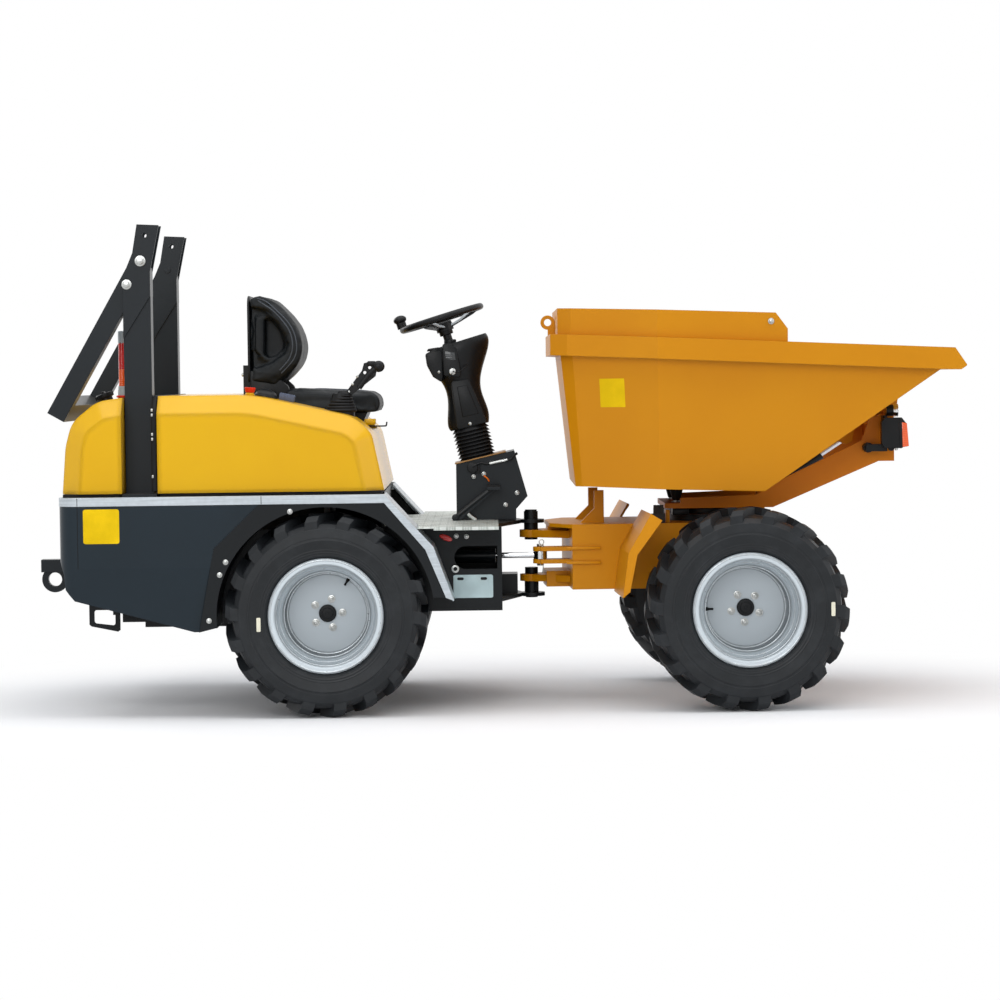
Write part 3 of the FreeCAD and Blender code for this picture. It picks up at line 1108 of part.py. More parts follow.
def skip_side(inset):
    """Return the skip's side outline up to its open top, inset from its outside."""
    return [(f"skip_rear - 60 + {inset}", f"skip_low_rear_z + {inset}"),
            ("skip_low_rear_x", f"skip_low_rear_z + {inset}"),
            (f"skip_low_front_x - {inset} * 0.3", f"skip_low_front_z + {inset}"),
            (f"slope_top_x - {inset} * 0.6", f"slope_top_z + {inset} * 0.8"),
            ("lip_x", f"slope_top_z + {inset}"), ("mouth_x", "tip_edge_z + 8"),
            ("mouth_x", "rim_front_z + 10"), ("skip_rear - 60", "rim_rear_high + 10")]


RIM_SIDE = [("skip_rear - 60", "rim_rear_high"), ("rim_front_x", "rim_front_z"),
            ("tip_edge_x", "tip_edge_z"), ("lip_x", "lip_z"), ("slope_top_x", "slope_top_z"),
            ("skip_rear - 60", "rim_rear_low")]


RIM_CORE_SIDE = [("skip_rear - 60", "rim_rear_high - skip_wall"),
                 ("rim_front_x - 2", "rim_front_z - skip_wall"),
                 ("tip_edge_x - 9", "tip_edge_z"), ("lip_x - 2", "lip_z + skip_wall + 1"),
                 ("slope_top_x", "slope_top_z + skip_wall"), ("skip_rear - 60", "rim_rear_low + skip_wall")]


def skip_ring(name, grow, wall, low, high):
    """Return the upright band of a plan outline, as thick as the wall."""
    return cut(name, plan_prism(f"{name}_outside", skip_plan(grow), low, high),
               plan_prism(f"{name}_inside", skip_plan(f"({grow} - {wall})"), f"{low} - 1", f"{high} + 1"))


def skip():
    """Make the skip: leaning plates, the folded rim, the board round its rear and its brackets."""
    wide = ("-skip_crease_half - 100", "skip_crease_half + 100")
    hollow_top = "rim_rear_high + 20"
    outer = common("hopper_outer",
                   plan_prism("hopper_plan", skip_plan("0"), "skip_low_front_z - 20", hollow_top,
                              "-skip_lean"),
                   side_prism("hopper_side", RIM_SIDE[:4] + skip_side("0")[3:0:-1]
                              + [("skip_rear - 60", "skip_low_rear_z")], *wide))
    inner = common("hopper_inner",
                   plan_prism("hopper_core_plan", skip_plan("-skip_wall"), "skip_low_front_z - 20",
                              hollow_top, "-skip_lean"),
                   side_prism("hopper_core_side", skip_side("skip_wall"), *wide))
    shell = cut("hopper", outer, inner)
    band = cut("rim_band",
               common("rim_bar", skip_ring("rim_plan", "rim_reach", "(rim_reach + skip_wall)",
                                           "lip_z - 20", "rim_rear_high + 20"),
                      side_prism("rim_side", RIM_SIDE, *wide)),
               common("rim_hollow", skip_ring("rim_core", "(rim_reach - skip_wall)",
                                              "(rim_reach - skip_wall)", "lip_z - 20",
                                              "rim_rear_high + 20"),
                      side_prism("rim_core_side", RIM_CORE_SIDE, *wide)))
    lug = fuse("lifting_eye",
               box("eye_foot", ("skip_rear - rim_reach", "skip_rear"), ("-6", "6"),
                   ("rim_rear_high - skip_wall", "eye_z")),
               rod("eye_round", "Y", ("eye_x", "eye_z"), "eye_radius", "-6", "6"))
    eye = rod("eye_hole", "Y", ("eye_x", "eye_z"), "eye_bore", "-7", "7")
    lift = lift_ears()
    body = fuse("skip_body", shell, band, cut("eye_plate", lug, eye), lift)
    node("skip_shell", swung(body))
    board = common("board_cut",
                   skip_ring("board_plan", "0", "board_wall", "rim_front_z",
                             "board_high + 20"),
                   side_prism("board_side",
                              [("skip_rear - 60", "rim_rear_high"), ("skip_rear - 60", "board_high + 2"),
                               ("board_front_x", "board_front_z"),
                               ("board_end_x", "board_front_z - 60"),
                               ("board_end_x",
                                "rim_rear_high - (board_end_x - skip_rear + 60) * rim_fall")], *wide))
    node("skip_board", swung(board))


def in_slope(x):
    """Return a height inside the skip's sloping front plate, where a bracket is welded under it."""
    return f"skip_low_front_z + ({x} - skip_low_front_x) * slope_rise + skip_wall / 2"


def lift_ears():
    """Return the brackets under the skip: two hinge ears and the pair that the tip rod pushes."""
    ear = fuse("hinge_ear",
               side_prism("hinge_ear_web",
                          [("tip_x - 90", in_slope("tip_x - 90")), ("tip_x", "tip_z - tip_eye + 2"),
                           ("tip_x + 30", "tip_z + 4"), ("tip_x + 40", in_slope("tip_x + 40"))],
                          "ear_y", "ear_y + ear_wall"),
               rod("hinge_ear_round", "Y", ("tip_x", "tip_z"), "tip_eye", "ear_y", "ear_y + ear_wall"))
    bore = rod("hinge_ear_bore", "Y", ("tip_x", "tip_z"), "tip_pin + running_gap", "0",
               "ear_y + ear_wall + 1")
    push = side_prism("push_ear",
                      [("lift_high_x - 26", "lift_high_z - 14"), ("lift_high_x", "lift_high_z - 26"),
                       ("lift_high_x + 26", "lift_high_z - 14"),
                       ("lift_high_x + 40", in_slope("lift_high_x + 40")),
                       ("lift_high_x - 60", in_slope("lift_high_x - 60"))],
                      "lift_eye_half + running_gap", "lift_eye_half + 15")
    return both_sides("skip_ears", fuse("skip_ear_pair", cut("hinge_ear_bored", ear, bore), push))


# Cylinders

def cylinder(name, axis, barrel_radius, rod_radius, pad, barrel_length, span):
    """Make a hydraulic cylinder along X from its barrel eye, with eyes about the given axis.

    The barrel is hollow for its rod, and the rod's eye is a plain pad, span away from the barrel's.
    """
    def eye(label, place, half):
        return rod(label, axis, (place, "0"), pad, f"-{half}", half)
    barrel = cut(f"{name}_barrel_bored",
                 fuse(f"{name}_barrel_body", eye(f"{name}_barrel_eye", "0", pad),
                      rod(f"{name}_tube", "X", ("0", "0"), barrel_radius, f"{pad} - 6", barrel_length)),
                 rod(f"{name}_eye_bore", axis, ("0", "0"), f"{name}_pin", f"-{pad} - 1", f"{pad} + 1"),
                 rod(f"{name}_rod_bore", "X", ("0", "0"), f"{rod_radius} + running_gap",
                     f"{pad} + 12", f"{barrel_length} + 1"))
    shaft = fuse(f"{name}_rod_body", eye(f"{name}_rod_eye", span, f"{name}_eye_half"),
                 rod(f"{name}_shaft", "X", ("0", "0"), rod_radius, f"{barrel_length} - {name}_grip",
                     f"{span} - {pad} + 8"))
    return barrel, shaft


def steer_cylinder():
    """Make the steering cylinder, from the rear frame's bracket to the front unit's clevis."""
    along = "(clevis_x * cos(steer_rest) - clevis_y * sin(steer_rest) - steer_rear_x)"
    across = "(clevis_x * sin(steer_rest) + clevis_y * cos(steer_rest) - steer_rear_y)"
    span = f"sqrt({along} ^ 2 + {across} ^ 2)"
    pair = cylinder("steer", "Z", "barrel_radius", "rod_radius", "eye_pad", "steer_barrel", span)
    for part, item in zip(("barrel", "rod"), pair):
        item.Placement = Placement(Vector(), Rotation(Vector(0, 0, 1), 1))
        bind(item, Placement__Rotation__Angle=f"atan2({across}; {along})")
        node(f"steer_{part}", held(item, "steer_rear_x", "steer_rear_y", "steer_z"))


def lift_cylinder():
    """Make the tip cylinder, from the turntable's bracket to the ears under the skip."""
    along = "(lift_high_x - lift_low_x)"
    rise = "(lift_high_z - lift_low_z)"
    span = f"sqrt({along} ^ 2 + {rise} ^ 2)"
    pair = cylinder("lift", "Y", "lift_barrel_radius", "lift_rod_radius", "lift_eye_pad", "lift_barrel",
                    span)
    for part, item in zip(("barrel", "rod"), pair):
        item.Placement = Placement(Vector(), Rotation(Vector(0, 1, 0), 1))
        bind(item, Placement__Rotation__Angle=f"-atan2({rise}; {along})")
        node(f"lift_{part}", swung(item, "lift_low_x", "lift_low_z"))


write_sheet()
wheels()
node("rear_axle", held(axle("rear_axle", "rear_axle_x")))
node("front_axle", steered(axle("front_axle", "front_axle_x")))
rear_frame()
floor_plate()
tail_skirt()
trim_band()
fenders()
hoods()
engine()
rops_posts()
rops_hoop()
seat()
control_lever()
pedestal()
column()
steering_wheel()
pedals()
beacon()
tow_hitch()
front_frame()
mudguards()
swivel_frame()
skip()
steer_cylinder()
lift_cylinder()
doc.recompute()


def check_document():
    """Stop if any object failed or any sub-part is empty or not valid."""
    for item in doc.Objects:
        if {"Invalid", "Error"} & set(item.State):
            raise RuntimeError(f"{item.Name} failed: {item.State}")
    for label, item in nodes.items():
        if item.Shape.isNull() or not item.Shape.isValid() or not item.Shape.Solids:
            raise RuntimeError(f"{label} has no valid solid")


check_document()
os.makedirs("parts", exist_ok=True)
for label, item in nodes.items():
    item.Shape.exportStep(f"parts/{label}.step")
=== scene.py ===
"""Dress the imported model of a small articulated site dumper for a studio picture.

The CAD nodes stay where they are and get their finishes here. Soft pieces, trim, fasteners, lamps and
blank plates are modelled on them in the same frame, in metres.
"""
from __future__ import annotations

import json
import logging
import math
from dataclasses import dataclass
from enum import Enum
from typing import Iterable, Sequence

import bpy
from mathutils import Matrix, Vector
from mathutils.bvhtree import BVHTree

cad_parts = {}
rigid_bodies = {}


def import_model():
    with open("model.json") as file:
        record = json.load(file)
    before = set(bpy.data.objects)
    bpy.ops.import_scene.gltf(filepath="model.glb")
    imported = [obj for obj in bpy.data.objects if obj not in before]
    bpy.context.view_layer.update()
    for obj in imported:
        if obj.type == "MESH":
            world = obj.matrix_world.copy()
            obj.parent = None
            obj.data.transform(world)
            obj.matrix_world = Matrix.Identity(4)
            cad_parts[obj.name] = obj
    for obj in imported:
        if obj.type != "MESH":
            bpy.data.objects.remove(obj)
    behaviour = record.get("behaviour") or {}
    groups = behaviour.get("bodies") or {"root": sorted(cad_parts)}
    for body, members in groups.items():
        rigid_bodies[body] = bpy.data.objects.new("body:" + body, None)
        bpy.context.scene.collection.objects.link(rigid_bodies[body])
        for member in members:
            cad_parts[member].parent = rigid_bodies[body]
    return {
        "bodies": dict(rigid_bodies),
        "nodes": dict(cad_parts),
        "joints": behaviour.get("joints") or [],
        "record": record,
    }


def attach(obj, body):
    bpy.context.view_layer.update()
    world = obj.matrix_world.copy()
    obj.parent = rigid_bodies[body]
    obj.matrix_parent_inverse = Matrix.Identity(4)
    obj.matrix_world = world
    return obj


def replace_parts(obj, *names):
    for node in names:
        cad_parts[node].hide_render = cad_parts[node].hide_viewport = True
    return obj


log = logging.getLogger("site_dumper")

Colour = tuple[float, float, float]
Point = tuple[float, float, float]


# Places on the machine


def metres(value: float) -> float:
    """Return millimetres as metres."""
    return value / 1000.0


def spot(x: float, y: float, z: float) -> Vector:
    """Return a place given in millimetres, in metres."""
    return Vector((metres(x), metres(y), metres(z)))


def millimetres(place: Iterable[float]) -> Point:
    """Return a place given in metres, in millimetres."""
    return tuple(level * 1000.0 for level in place)


def srgb(red: float, green: float, blue: float) -> Colour:
    """Return a colour given in 0 to 255 steps, as seen on a screen, in linear light."""
    def linear(level: float) -> float:
        part = level / 255.0
        return part / 12.92 if part <= 0.04045 else ((part + 0.055) / 1.055) ** 2.4
    return linear(red), linear(green), linear(blue)


@dataclass(frozen=True)
class Station:
    """A part of the machine that places are measured on, in millimetres from the articulation axis.

    X runs forward along that part, Y to the driver's left and Z up from the ground.
    """

    x: float
    y: float
    turn: float = 0.0

    def at(self, x: float, y: float, z: float) -> Vector:
        """Return a place on this part in the model's frame, in metres."""
        angle = math.radians(self.turn)
        return Vector((metres(self.x + x * math.cos(angle) - y * math.sin(angle)),
                       metres(self.y + x * math.sin(angle) + y * math.cos(angle)), metres(z)))

    def matrix(self) -> Matrix:
        """Return the move from this part's own place to the model's frame."""
        return (Matrix.Translation((metres(self.x), metres(self.y), 0.0))
                @ Matrix.Rotation(math.radians(self.turn), 4, "Z"))


PIVOT_X, PIVOT_Y, PARKED_TURN, SLEW_X = 141.3, -22.7, 2.5, 706.0
REAR = Station(PIVOT_X, PIVOT_Y)
FRONT = Station(PIVOT_X, PIVOT_Y, PARKED_TURN)
SWUNG = Station(PIVOT_X + SLEW_X * (math.cos(math.radians(PARKED_TURN)) - 1.0),
                PIVOT_Y + SLEW_X * math.sin(math.radians(PARKED_TURN)))


# Sizes that more than one assembly is set out from, in millimetres: the axles' distance ahead of the
# articulation or behind it, their height, and the distance of the tyres' middles from the machine's own
AXLE_REACH, AXLE_HEIGHT, TYRE_MIDDLE = 775.0, 380.0, 575.0

# Where a straight line starts that looks for a surface from beside the machine, or from above it
BESIDE, ABOVE = 900.0, 1500.0

# The machine's two sides and their sign along Y
SIDES = (("right", -1), ("left", 1))


class Axis(Enum):
    """The direction that a round piece runs along."""

    X = "X"
    Y = "Y"
    Z = "Z"

    def turn(self) -> tuple[float, float, float]:
        """Return the turn that lays an upright primitive along this axis."""
        quarter = math.pi / 2
        return {"X": (0.0, quarter, 0.0), "Y": (quarter, 0.0, 0.0), "Z": (0.0, 0.0, 0.0)}[self.value]

    def facing(self, out: int) -> Matrix:
        """Return the turn that points an upright piece up (1) or down (-1) this axis."""
        way = Vector([float(out) if axis is self else 0.0 for axis in Axis])
        return way.to_track_quat("Z", "Y").to_matrix().to_4x4()


# Shaders


class Value:
    """A number on a node tree, on which Python's arithmetic adds Math nodes."""

    def __init__(self, shader: "Shader", socket: bpy.types.NodeSocket) -> None:
        """Wrap one output socket.

        Args:
            shader: The shader that the socket belongs to.
            socket: The output socket.
        """
        self.shader = shader
        self.socket = socket

    def _math(self, operation: str, *terms: "Value | float") -> "Value":
        """Return a new value from one Math node."""
        return self.shader.add("ShaderNodeMath", {"operation": operation}, dict(enumerate(terms)))

    def __add__(self, other: "Value | float") -> "Value":
        """Add."""
        return self._math("ADD", self, other)

    __radd__ = __add__

    def __sub__(self, other: "Value | float") -> "Value":
        """Take away."""
        return self._math("SUBTRACT", self, other)

    def __rsub__(self, other: float) -> "Value":
        """Take this value away from a number."""
        return self._math("SUBTRACT", other, self)

    def __mul__(self, other: "Value | float") -> "Value":
        """Multiply."""
        return self._math("MULTIPLY", self, other)

    __rmul__ = __mul__

    def __truediv__(self, other: "Value | float") -> "Value":
        """Divide."""
        return self._math("DIVIDE", self, other)

    def __abs__(self) -> "Value":
        """Drop the sign."""
        return self._math("ABSOLUTE", self)

    def over(self, edge: "Value | float") -> "Value":
        """Return 1 where this is greater than the edge, else 0."""
        return self._math("GREATER_THAN", self, edge)

    def under(self, edge: "Value | float") -> "Value":
        """Return 1 where this is less than the edge, else 0."""
        return self._math("LESS_THAN", self, edge)

    def least(self, other: "Value | float") -> "Value":
        """Return the lesser of the two."""
        return self._math("MINIMUM", self, other)

    def most(self, other: "Value | float") -> "Value":
        """Return the greater of the two."""
        return self._math("MAXIMUM", self, other)

    def fraction(self) -> "Value":
        """Return what is left after the whole number."""
        return self._math("FRACT", self)

    def floor(self) -> "Value":
        """Return the whole number below."""
        return self._math("FLOOR", self)

    def wave(self) -> "Value":
        """Return the sine."""
        return self._math("SINE", self)

    def root(self) -> "Value":
        """Return the square root."""
        return self._math("SQRT", self)

    def between(self, low: float, high: float) -> "Value":
        """Return a smooth step from 0 at low to 1 at high."""
        return self.shader.add("ShaderNodeMapRange", {"interpolation_type": "SMOOTHSTEP"},
                               {"Value": self, "From Min": low, "From Max": high})

    def within(self, rise: tuple[float, float], fall: tuple[float, float]) -> "Value":
        """Return 1 inside a band and 0 outside it, with one smooth step up and one down."""
        return self.between(*rise) * (1.0 - self.between(*fall))


class Shader:
    """One material's node tree, built by name."""

    def __init__(self, name: str) -> None:
        """Start an empty material with its shader and output.

        Args:
            name: The material's name.
        """
        self.material = bpy.data.materials.new(name)
        self.material.use_nodes = True
        self.tree = self.material.node_tree
        self.tree.nodes.clear()
        self.surface = self.tree.nodes.new("ShaderNodeBsdfPrincipled")
        output = self.tree.nodes.new("ShaderNodeOutputMaterial")
        self.tree.links.new(self.surface.outputs["BSDF"], output.inputs["Surface"])

    def add(self, kind: str, settings: dict | None = None, inputs: dict | None = None,
            output: int | str = 0) -> Value:
        """Add one node and return one of its outputs.

        Args:
            kind: The node's type.
            settings: Its properties, set before its inputs.
            inputs: Values or links by socket name or number.
            output: The output's name or number.

        Returns:
            The output as a value.
        """
        node = self.tree.nodes.new(kind)
        for key, setting in (settings or {}).items():
            setattr(node, key, setting)
        for key, term in (inputs or {}).items():
            self._feed(node.inputs[key], term)
        return Value(self, node.outputs[output])

    def _feed(self, socket: bpy.types.NodeSocket, term: "Value | float | Sequence[float]") -> None:
        """Link or set one input socket."""
        if isinstance(term, Value):
            self.tree.links.new(term.socket, socket)
        elif isinstance(term, (int, float)):
            socket.default_value = term
        else:
            padded = tuple(term) + (1.0,) * (len(socket.default_value) - len(term))
            socket.default_value = padded

    def set(self, **inputs: "Value | float | Sequence[float]") -> None:
        """Set sockets of the surface shader; an underscore stands for a space."""
        for key, term in inputs.items():
            self._feed(self.surface.inputs[key.replace("_", " ")], term)

    def place(self, centre: Vector | None = None) -> Value:
        """Return the place on the piece, in metres, measured from a centre."""
        place = self.add("ShaderNodeTexCoord", output="Object")
        if centre is None:
            return place
        return self.add("ShaderNodeVectorMath", {"operation": "SUBTRACT"}, {0: place, 1: tuple(centre)})

    def split(self, vector: Value) -> tuple[Value, Value, Value]:
        """Return the three numbers of a vector."""
        first = self.add("ShaderNodeSeparateXYZ", inputs={0: vector})
        outputs = first.socket.node.outputs
        return first, Value(self, outputs[1]), Value(self, outputs[2])

    def stretched(self, vector: Value, scale: Sequence[float]) -> Value:
        """Return a vector multiplied number by number."""
        return self.add("ShaderNodeVectorMath", {"operation": "MULTIPLY"}, {0: vector, 1: tuple(scale)})

    def noise(self, vector: Value, scale: float, detail: float = 2.0, rough: float = 0.5) -> Value:
        """Return soft noise around one half."""
        return self.add("ShaderNodeTexNoise", inputs={"Vector": vector, "Scale": scale, "Detail": detail,
                                                      "Roughness": rough})

    def cells(self, vector: Value, scale: float) -> Value:
        """Return the distance to the nearest point in a pattern of cells."""
        return self.add("ShaderNodeTexVoronoi", {"feature": "F1"}, {"Vector": vector, "Scale": scale},
                        output="Distance")

    def blend(self, factor: "Value | float", first: "Value | Sequence[float]",
              second: "Value | Sequence[float]") -> Value:
        """Return a colour between two."""
        node = self.tree.nodes.new("ShaderNodeMix")
        node.data_type = "RGBA"
        self._feed(node.inputs[0], factor)
        self._feed(node.inputs[6], first)
        self._feed(node.inputs[7], second)
        return Value(self, node.outputs[2])

    def relief(self, height: Value, depth: float, rounding: float = 0.0) -> None:
        """Give the surface a bump of a depth in metres, over edges rounded by a radius."""
        inputs = {"Height": height, "Distance": depth, "Strength": 1.0}
        if rounding > 0.0:
            inputs["Normal"] = self.rounded(rounding)
        self.set(Normal=self.add("ShaderNodeBump", inputs=inputs))

    def rounded(self, radius: float) -> Value:
        """Return normals that are rounded over edges."""
        return self.add("ShaderNodeBevel", {"samples": 4}, {"Radius": radius})


# Finishes


@dataclass(frozen=True)
class Finish:
    """A surface finish that can be made into a material."""

    name: str

    def material(self) -> bpy.types.Material:
        """Return the finish as a material."""
        raise NotImplementedError


@dataclass(frozen=True)
class Paint(Finish):
    """Sprayed enamel: even colour, orange peel, a little dust that settles on what faces up."""

    colour: Colour
    shade: Colour
    gloss: float = 0.32
    coat: float = 0.35
    rounding: float = 0.003
    dust: float = 0.12
    shine: float = 0.18

    def material(self) -> bpy.types.Material:
        """Return the paint as a material."""
        shader = Shader(self.name)
        place = shader.place()
        broad = shader.noise(place, 2.3, 3.0)
        speck = shader.noise(place, 90.0, 4.0, 0.7)
        facing = shader.split(shader.add("ShaderNodeNewGeometry", output="Normal"))[2]
        settled = facing.between(0.4, 1.0) * speck.between(0.35, 0.75) * self.dust
        body = shader.blend(broad.between(0.3, 0.7) * 0.5, self.colour, self.shade)
        colour = shader.blend(settled, body, srgb(170, 160, 145))
        shader.set(Base_Color=colour, Roughness=self.gloss + (broad - 0.5) * 0.10 + settled * 0.8,
                   Coat_Weight=self.coat, Coat_Roughness=0.12, Specular_IOR_Level=self.shine)
        shader.relief(shader.noise(place, 420.0, 1.0), 0.00006, self.rounding)
        return shader.material


@dataclass(frozen=True)
class Moulding(Finish):
    """Moulded plastic or rubber with a fine grain and dull wear on it."""

    colour: Colour
    gloss: float = 0.5
    grain: float = 700.0
    depth: float = 0.00012
    rounding: float = 0.0025
    shine: float = 0.2

    def material(self) -> bpy.types.Material:
        """Return the moulding as a material."""
        shader = Shader(self.name)
        place = shader.place()
        broad = shader.noise(place, 9.0, 4.0)
        lighter = tuple(min(1.0, level * 1.5 + 0.005) for level in self.colour)
        shader.set(Base_Color=shader.blend(broad.between(0.35, 0.8) * 0.6, self.colour, lighter),
                   Roughness=self.gloss + (broad - 0.5) * 0.16, Specular_IOR_Level=self.shine)
        shader.relief(shader.cells(place, self.grain), self.depth, self.rounding)
        return shader.material


@dataclass(frozen=True)
class Bare(Finish):
    """Bare or plated metal with drawn streaks along one direction."""

    colour: Colour
    gloss: float = 0.3
    streaks: tuple[float, float, float] = (6.0, 6.0, 260.0)
    depth: float = 0.00003
    rounding: float = 0.002
    metal: float = 1.0

    def material(self) -> bpy.types.Material:
        """Return the metal as a material."""
        shader = Shader(self.name)
        place = shader.place()
        streak = shader.noise(shader.stretched(place, self.streaks), 1.0, 3.0)
        spangle = shader.cells(place, 55.0)
        darker = tuple(level * 0.72 for level in self.colour)
        mottle = streak.between(0.3, 0.7) * 0.6 + spangle * 0.4
        shader.set(Base_Color=shader.blend(mottle, self.colour, darker), Metallic=self.metal,
                   Roughness=self.gloss + (streak - 0.5) * 0.18)
        shader.relief(streak, self.depth, self.rounding)
        return shader.material


@dataclass(frozen=True)
class TreadPlate(Finish):
    """Five bar tread plate: short raised bars that change direction from square to square."""

    pitch: float = 0.030

    def material(self) -> bpy.types.Material:
        """Return the tread plate as a material."""
        shader = Shader(self.name)
        place = shader.place()
        x, y, _ = shader.split(place)
        along, across = (x / self.pitch).fraction() - 0.5, (y / self.pitch).fraction() - 0.5
        odd = (((x / self.pitch).floor() + (y / self.pitch).floor()) / 2.0).fraction().over(0.25)
        forward = along * odd + across * (1.0 - odd)
        aside = across * odd + along * (1.0 - odd)
        comb = abs((aside * 5.0).fraction() - 0.5)
        bar = comb.under(0.24) * abs(forward).under(0.40) * abs(aside).under(0.48)
        soil_and_shade = shader.noise(place, 14.0, 5.0, 0.65)
        worn = shader.blend(soil_and_shade.between(0.35, 0.75), srgb(190, 197, 192), srgb(128, 132, 126))
        shader.set(Base_Color=shader.blend(bar * 0.5, worn, srgb(228, 233, 229)), Metallic=0.75,
                   Roughness=0.42 + soil_and_shade * 0.2 - bar * 0.12)
        shader.relief(bar, 0.0011, 0.0015)
        return shader.material


@dataclass(frozen=True)
class WheelFinish(Finish):
    """A finish that follows the rings of one wheel."""

    centre: tuple[float, float, float]
    turn: float
    colour: Colour

    def about_axle(self, shader: Shader) -> tuple[Value, Value, Value]:
        """Return the place from the wheel's centre, its distance from the axle and how far along it."""
        place = shader.place(Vector(self.centre))
        x, y, z = shader.split(place)
        angle = math.radians(self.turn)
        ahead = x * math.cos(angle) + y * math.sin(angle)
        across = y * math.cos(angle) - x * math.sin(angle)
        return place, (ahead * ahead + z * z).root(), across


@dataclass(frozen=True)
class TyreRubber(WheelFinish):
    """Tyre rubber: moulded rings on the side wall, dry dust on the tread."""

    def material(self) -> bpy.types.Material:
        """Return the rubber as a material."""
        shader = Shader(self.name)
        place, radius, across = self.about_axle(shader)
        wall = radius.within((0.216, 0.222), (0.318, 0.326)) * abs(across).over(0.09)
        rings = ((radius * 620.0).wave() * 0.5 + 0.5) * radius.within((0.222, 0.226), (0.246, 0.250))
        groove = radius.within((0.283, 0.285), (0.291, 0.293))
        speck = shader.noise(place, 260.0, 3.0)
        mottle = shader.noise(place, 11.0, 5.0, 0.6)
        dusty = tuple(level * 1.8 + 0.008 for level in self.colour)
        shader.set(Base_Color=shader.blend(mottle.between(0.4, 0.8) * 0.6, self.colour, dusty),
                   Roughness=0.50 + (mottle - 0.5) * 0.2 - wall * 0.08, Specular_IOR_Level=0.28)
        shader.relief(rings * wall * 0.5 - groove * wall + speck * 0.16, 0.0016, 0.003)
        return shader.material


@dataclass(frozen=True)
class RimSteel(WheelFinish):
    """Silver painted steel of a rim, with a painted highlight in its barrel and painted shade in the
    barrel's corners.
    """

    # The colour of the painted shade laid in the barrel's corners
    corner_shade: Colour = srgb(84, 88, 91)

    def material(self) -> bpy.types.Material:
        """Return the painted steel as a material."""
        shader = Shader(self.name)
        place, radius, _ = self.about_axle(shader)
        mottle = shader.noise(place, 14.0, 5.0, 0.6)
        # Painted shade: the corner next to the disc and the band over the bead are darkened, mottled and
        # made rougher
        corner = radius.within((0.143, 0.148), (0.161, 0.170))
        bead = radius.within((0.181, 0.187), (0.1885, 0.196))
        soil_and_shade = ((corner * 0.75 + bead * 0.55) * (mottle * 0.8 + 0.45)).least(0.85)
        # Painted highlight: from the barrel outwards the silver is painted up to 1.3 times lighter than on
        # the disc
        barrel = radius.between(0.158, 0.172)
        bright = tuple(min(1.0, level * 1.3) for level in self.colour)
        highlit_steel = shader.blend(barrel, self.colour, bright)
        shader.set(Base_Color=shader.blend(soil_and_shade, highlit_steel, self.corner_shade), Metallic=barrel * 0.35 + 0.15,
                   Roughness=0.34 + soil_and_shade * 0.3 + (mottle - 0.5) * 0.1, Specular_IOR_Level=0.3)
        shader.relief(shader.noise(place, 420.0, 1.0), 0.00005, 0.002)
        return shader.material


@dataclass(frozen=True)
class Lens(Finish):
    """A moulded lamp lens with small ribs that scatter light."""

    colour: Colour
    ribs: float = 900.0

    def material(self) -> bpy.types.Material:
        """Return the lens as a material."""
        shader = Shader(self.name)
        place = shader.place()
        _, y, z = shader.split(place)
        rib = (z * self.ribs).wave() * (y * self.ribs).wave()
        bright = tuple(min(1.0, level * 1.3 + 0.01) for level in self.colour)
        shader.set(Base_Color=shader.blend(rib * 0.5 + 0.5, self.colour, bright), Roughness=0.12,
                   Coat_Weight=0.6, Coat_Roughness=0.04)
        shader.relief(rib, 0.0004, 0.002)
        return shader.material


@dataclass(frozen=True)
class Hide(Finish):
    """Seat vinyl with a pebbled grain and softly worn highs."""

    colour: Colour

    def material(self) -> bpy.types.Material:
        """Return the vinyl as a material."""
        shader = Shader(self.name)
        place = shader.place()
        pebble = shader.cells(place, 480.0)
        crease = shader.noise(place, 38.0, 6.0, 0.6)
        lighter = tuple(level * 1.6 + 0.005 for level in self.colour)
        shader.set(Base_Color=shader.blend(crease.between(0.45, 0.8) * 0.55, self.colour, lighter),
                   Roughness=0.40 + crease * 0.14, Specular_IOR_Level=0.2)
        shader.relief(pebble * 0.7 + crease * 0.5, 0.00045)
        return shader.material


SKIP_ORANGE = Paint("skip_orange", srgb(199, 131, 8), srgb(192, 122, 6), gloss=0.4, coat=0.0,
                    rounding=0.004)
BEAM_ORANGE = Paint("beam_orange", srgb(196, 114, 10), srgb(187, 106, 8), gloss=0.4, coat=0.0,
                    rounding=0.004)
HOOD_YELLOW = Paint("hood_yellow", srgb(219, 169, 5), srgb(211, 157, 3), gloss=0.24, coat=0.14,
                    rounding=0.024, dust=0.0)
FRAME_BLACK = Paint("frame_black", srgb(25, 30, 34), srgb(19, 23, 26), gloss=0.34, coat=0.08,
                    rounding=0.003)
SKIRT_SLATE = Paint("skirt_slate", srgb(24, 36, 44), srgb(17, 27, 34), gloss=0.3, coat=0.12,
                    rounding=0.008)
SPOKE_SILVER = Paint("spoke_silver", srgb(172, 179, 183), srgb(160, 168, 173), gloss=0.3, coat=0.1,
                     rounding=0.003)
GUARD_BLACK = Paint("guard_black", srgb(17, 21, 24), srgb(12, 15, 18), gloss=0.36, coat=0.08,
                    rounding=0.003)
BRIGHT_TRIM = Bare("bright_trim", srgb(196, 204, 210), 0.34, metal=0.65)
ROD_CHROME = Bare("rod_chrome", srgb(226, 229, 232), 0.07, (3.0, 3.0, 3.0), 0.000004)
RING_STEEL = Bare("ring_steel", srgb(196, 203, 207), 0.3, (30.0, 30.0, 30.0), metal=0.6)
ZINC_BOLT = Bare("zinc_bolt", srgb(196, 198, 196), 0.3, (40.0, 40.0, 40.0))
ENGINE_IRON = Moulding("engine_iron", srgb(52, 50, 48), 0.6, 240.0, 0.0004)
BLACK_PLASTIC = Moulding("black_plastic", srgb(15, 17, 19), 0.38, 900.0)
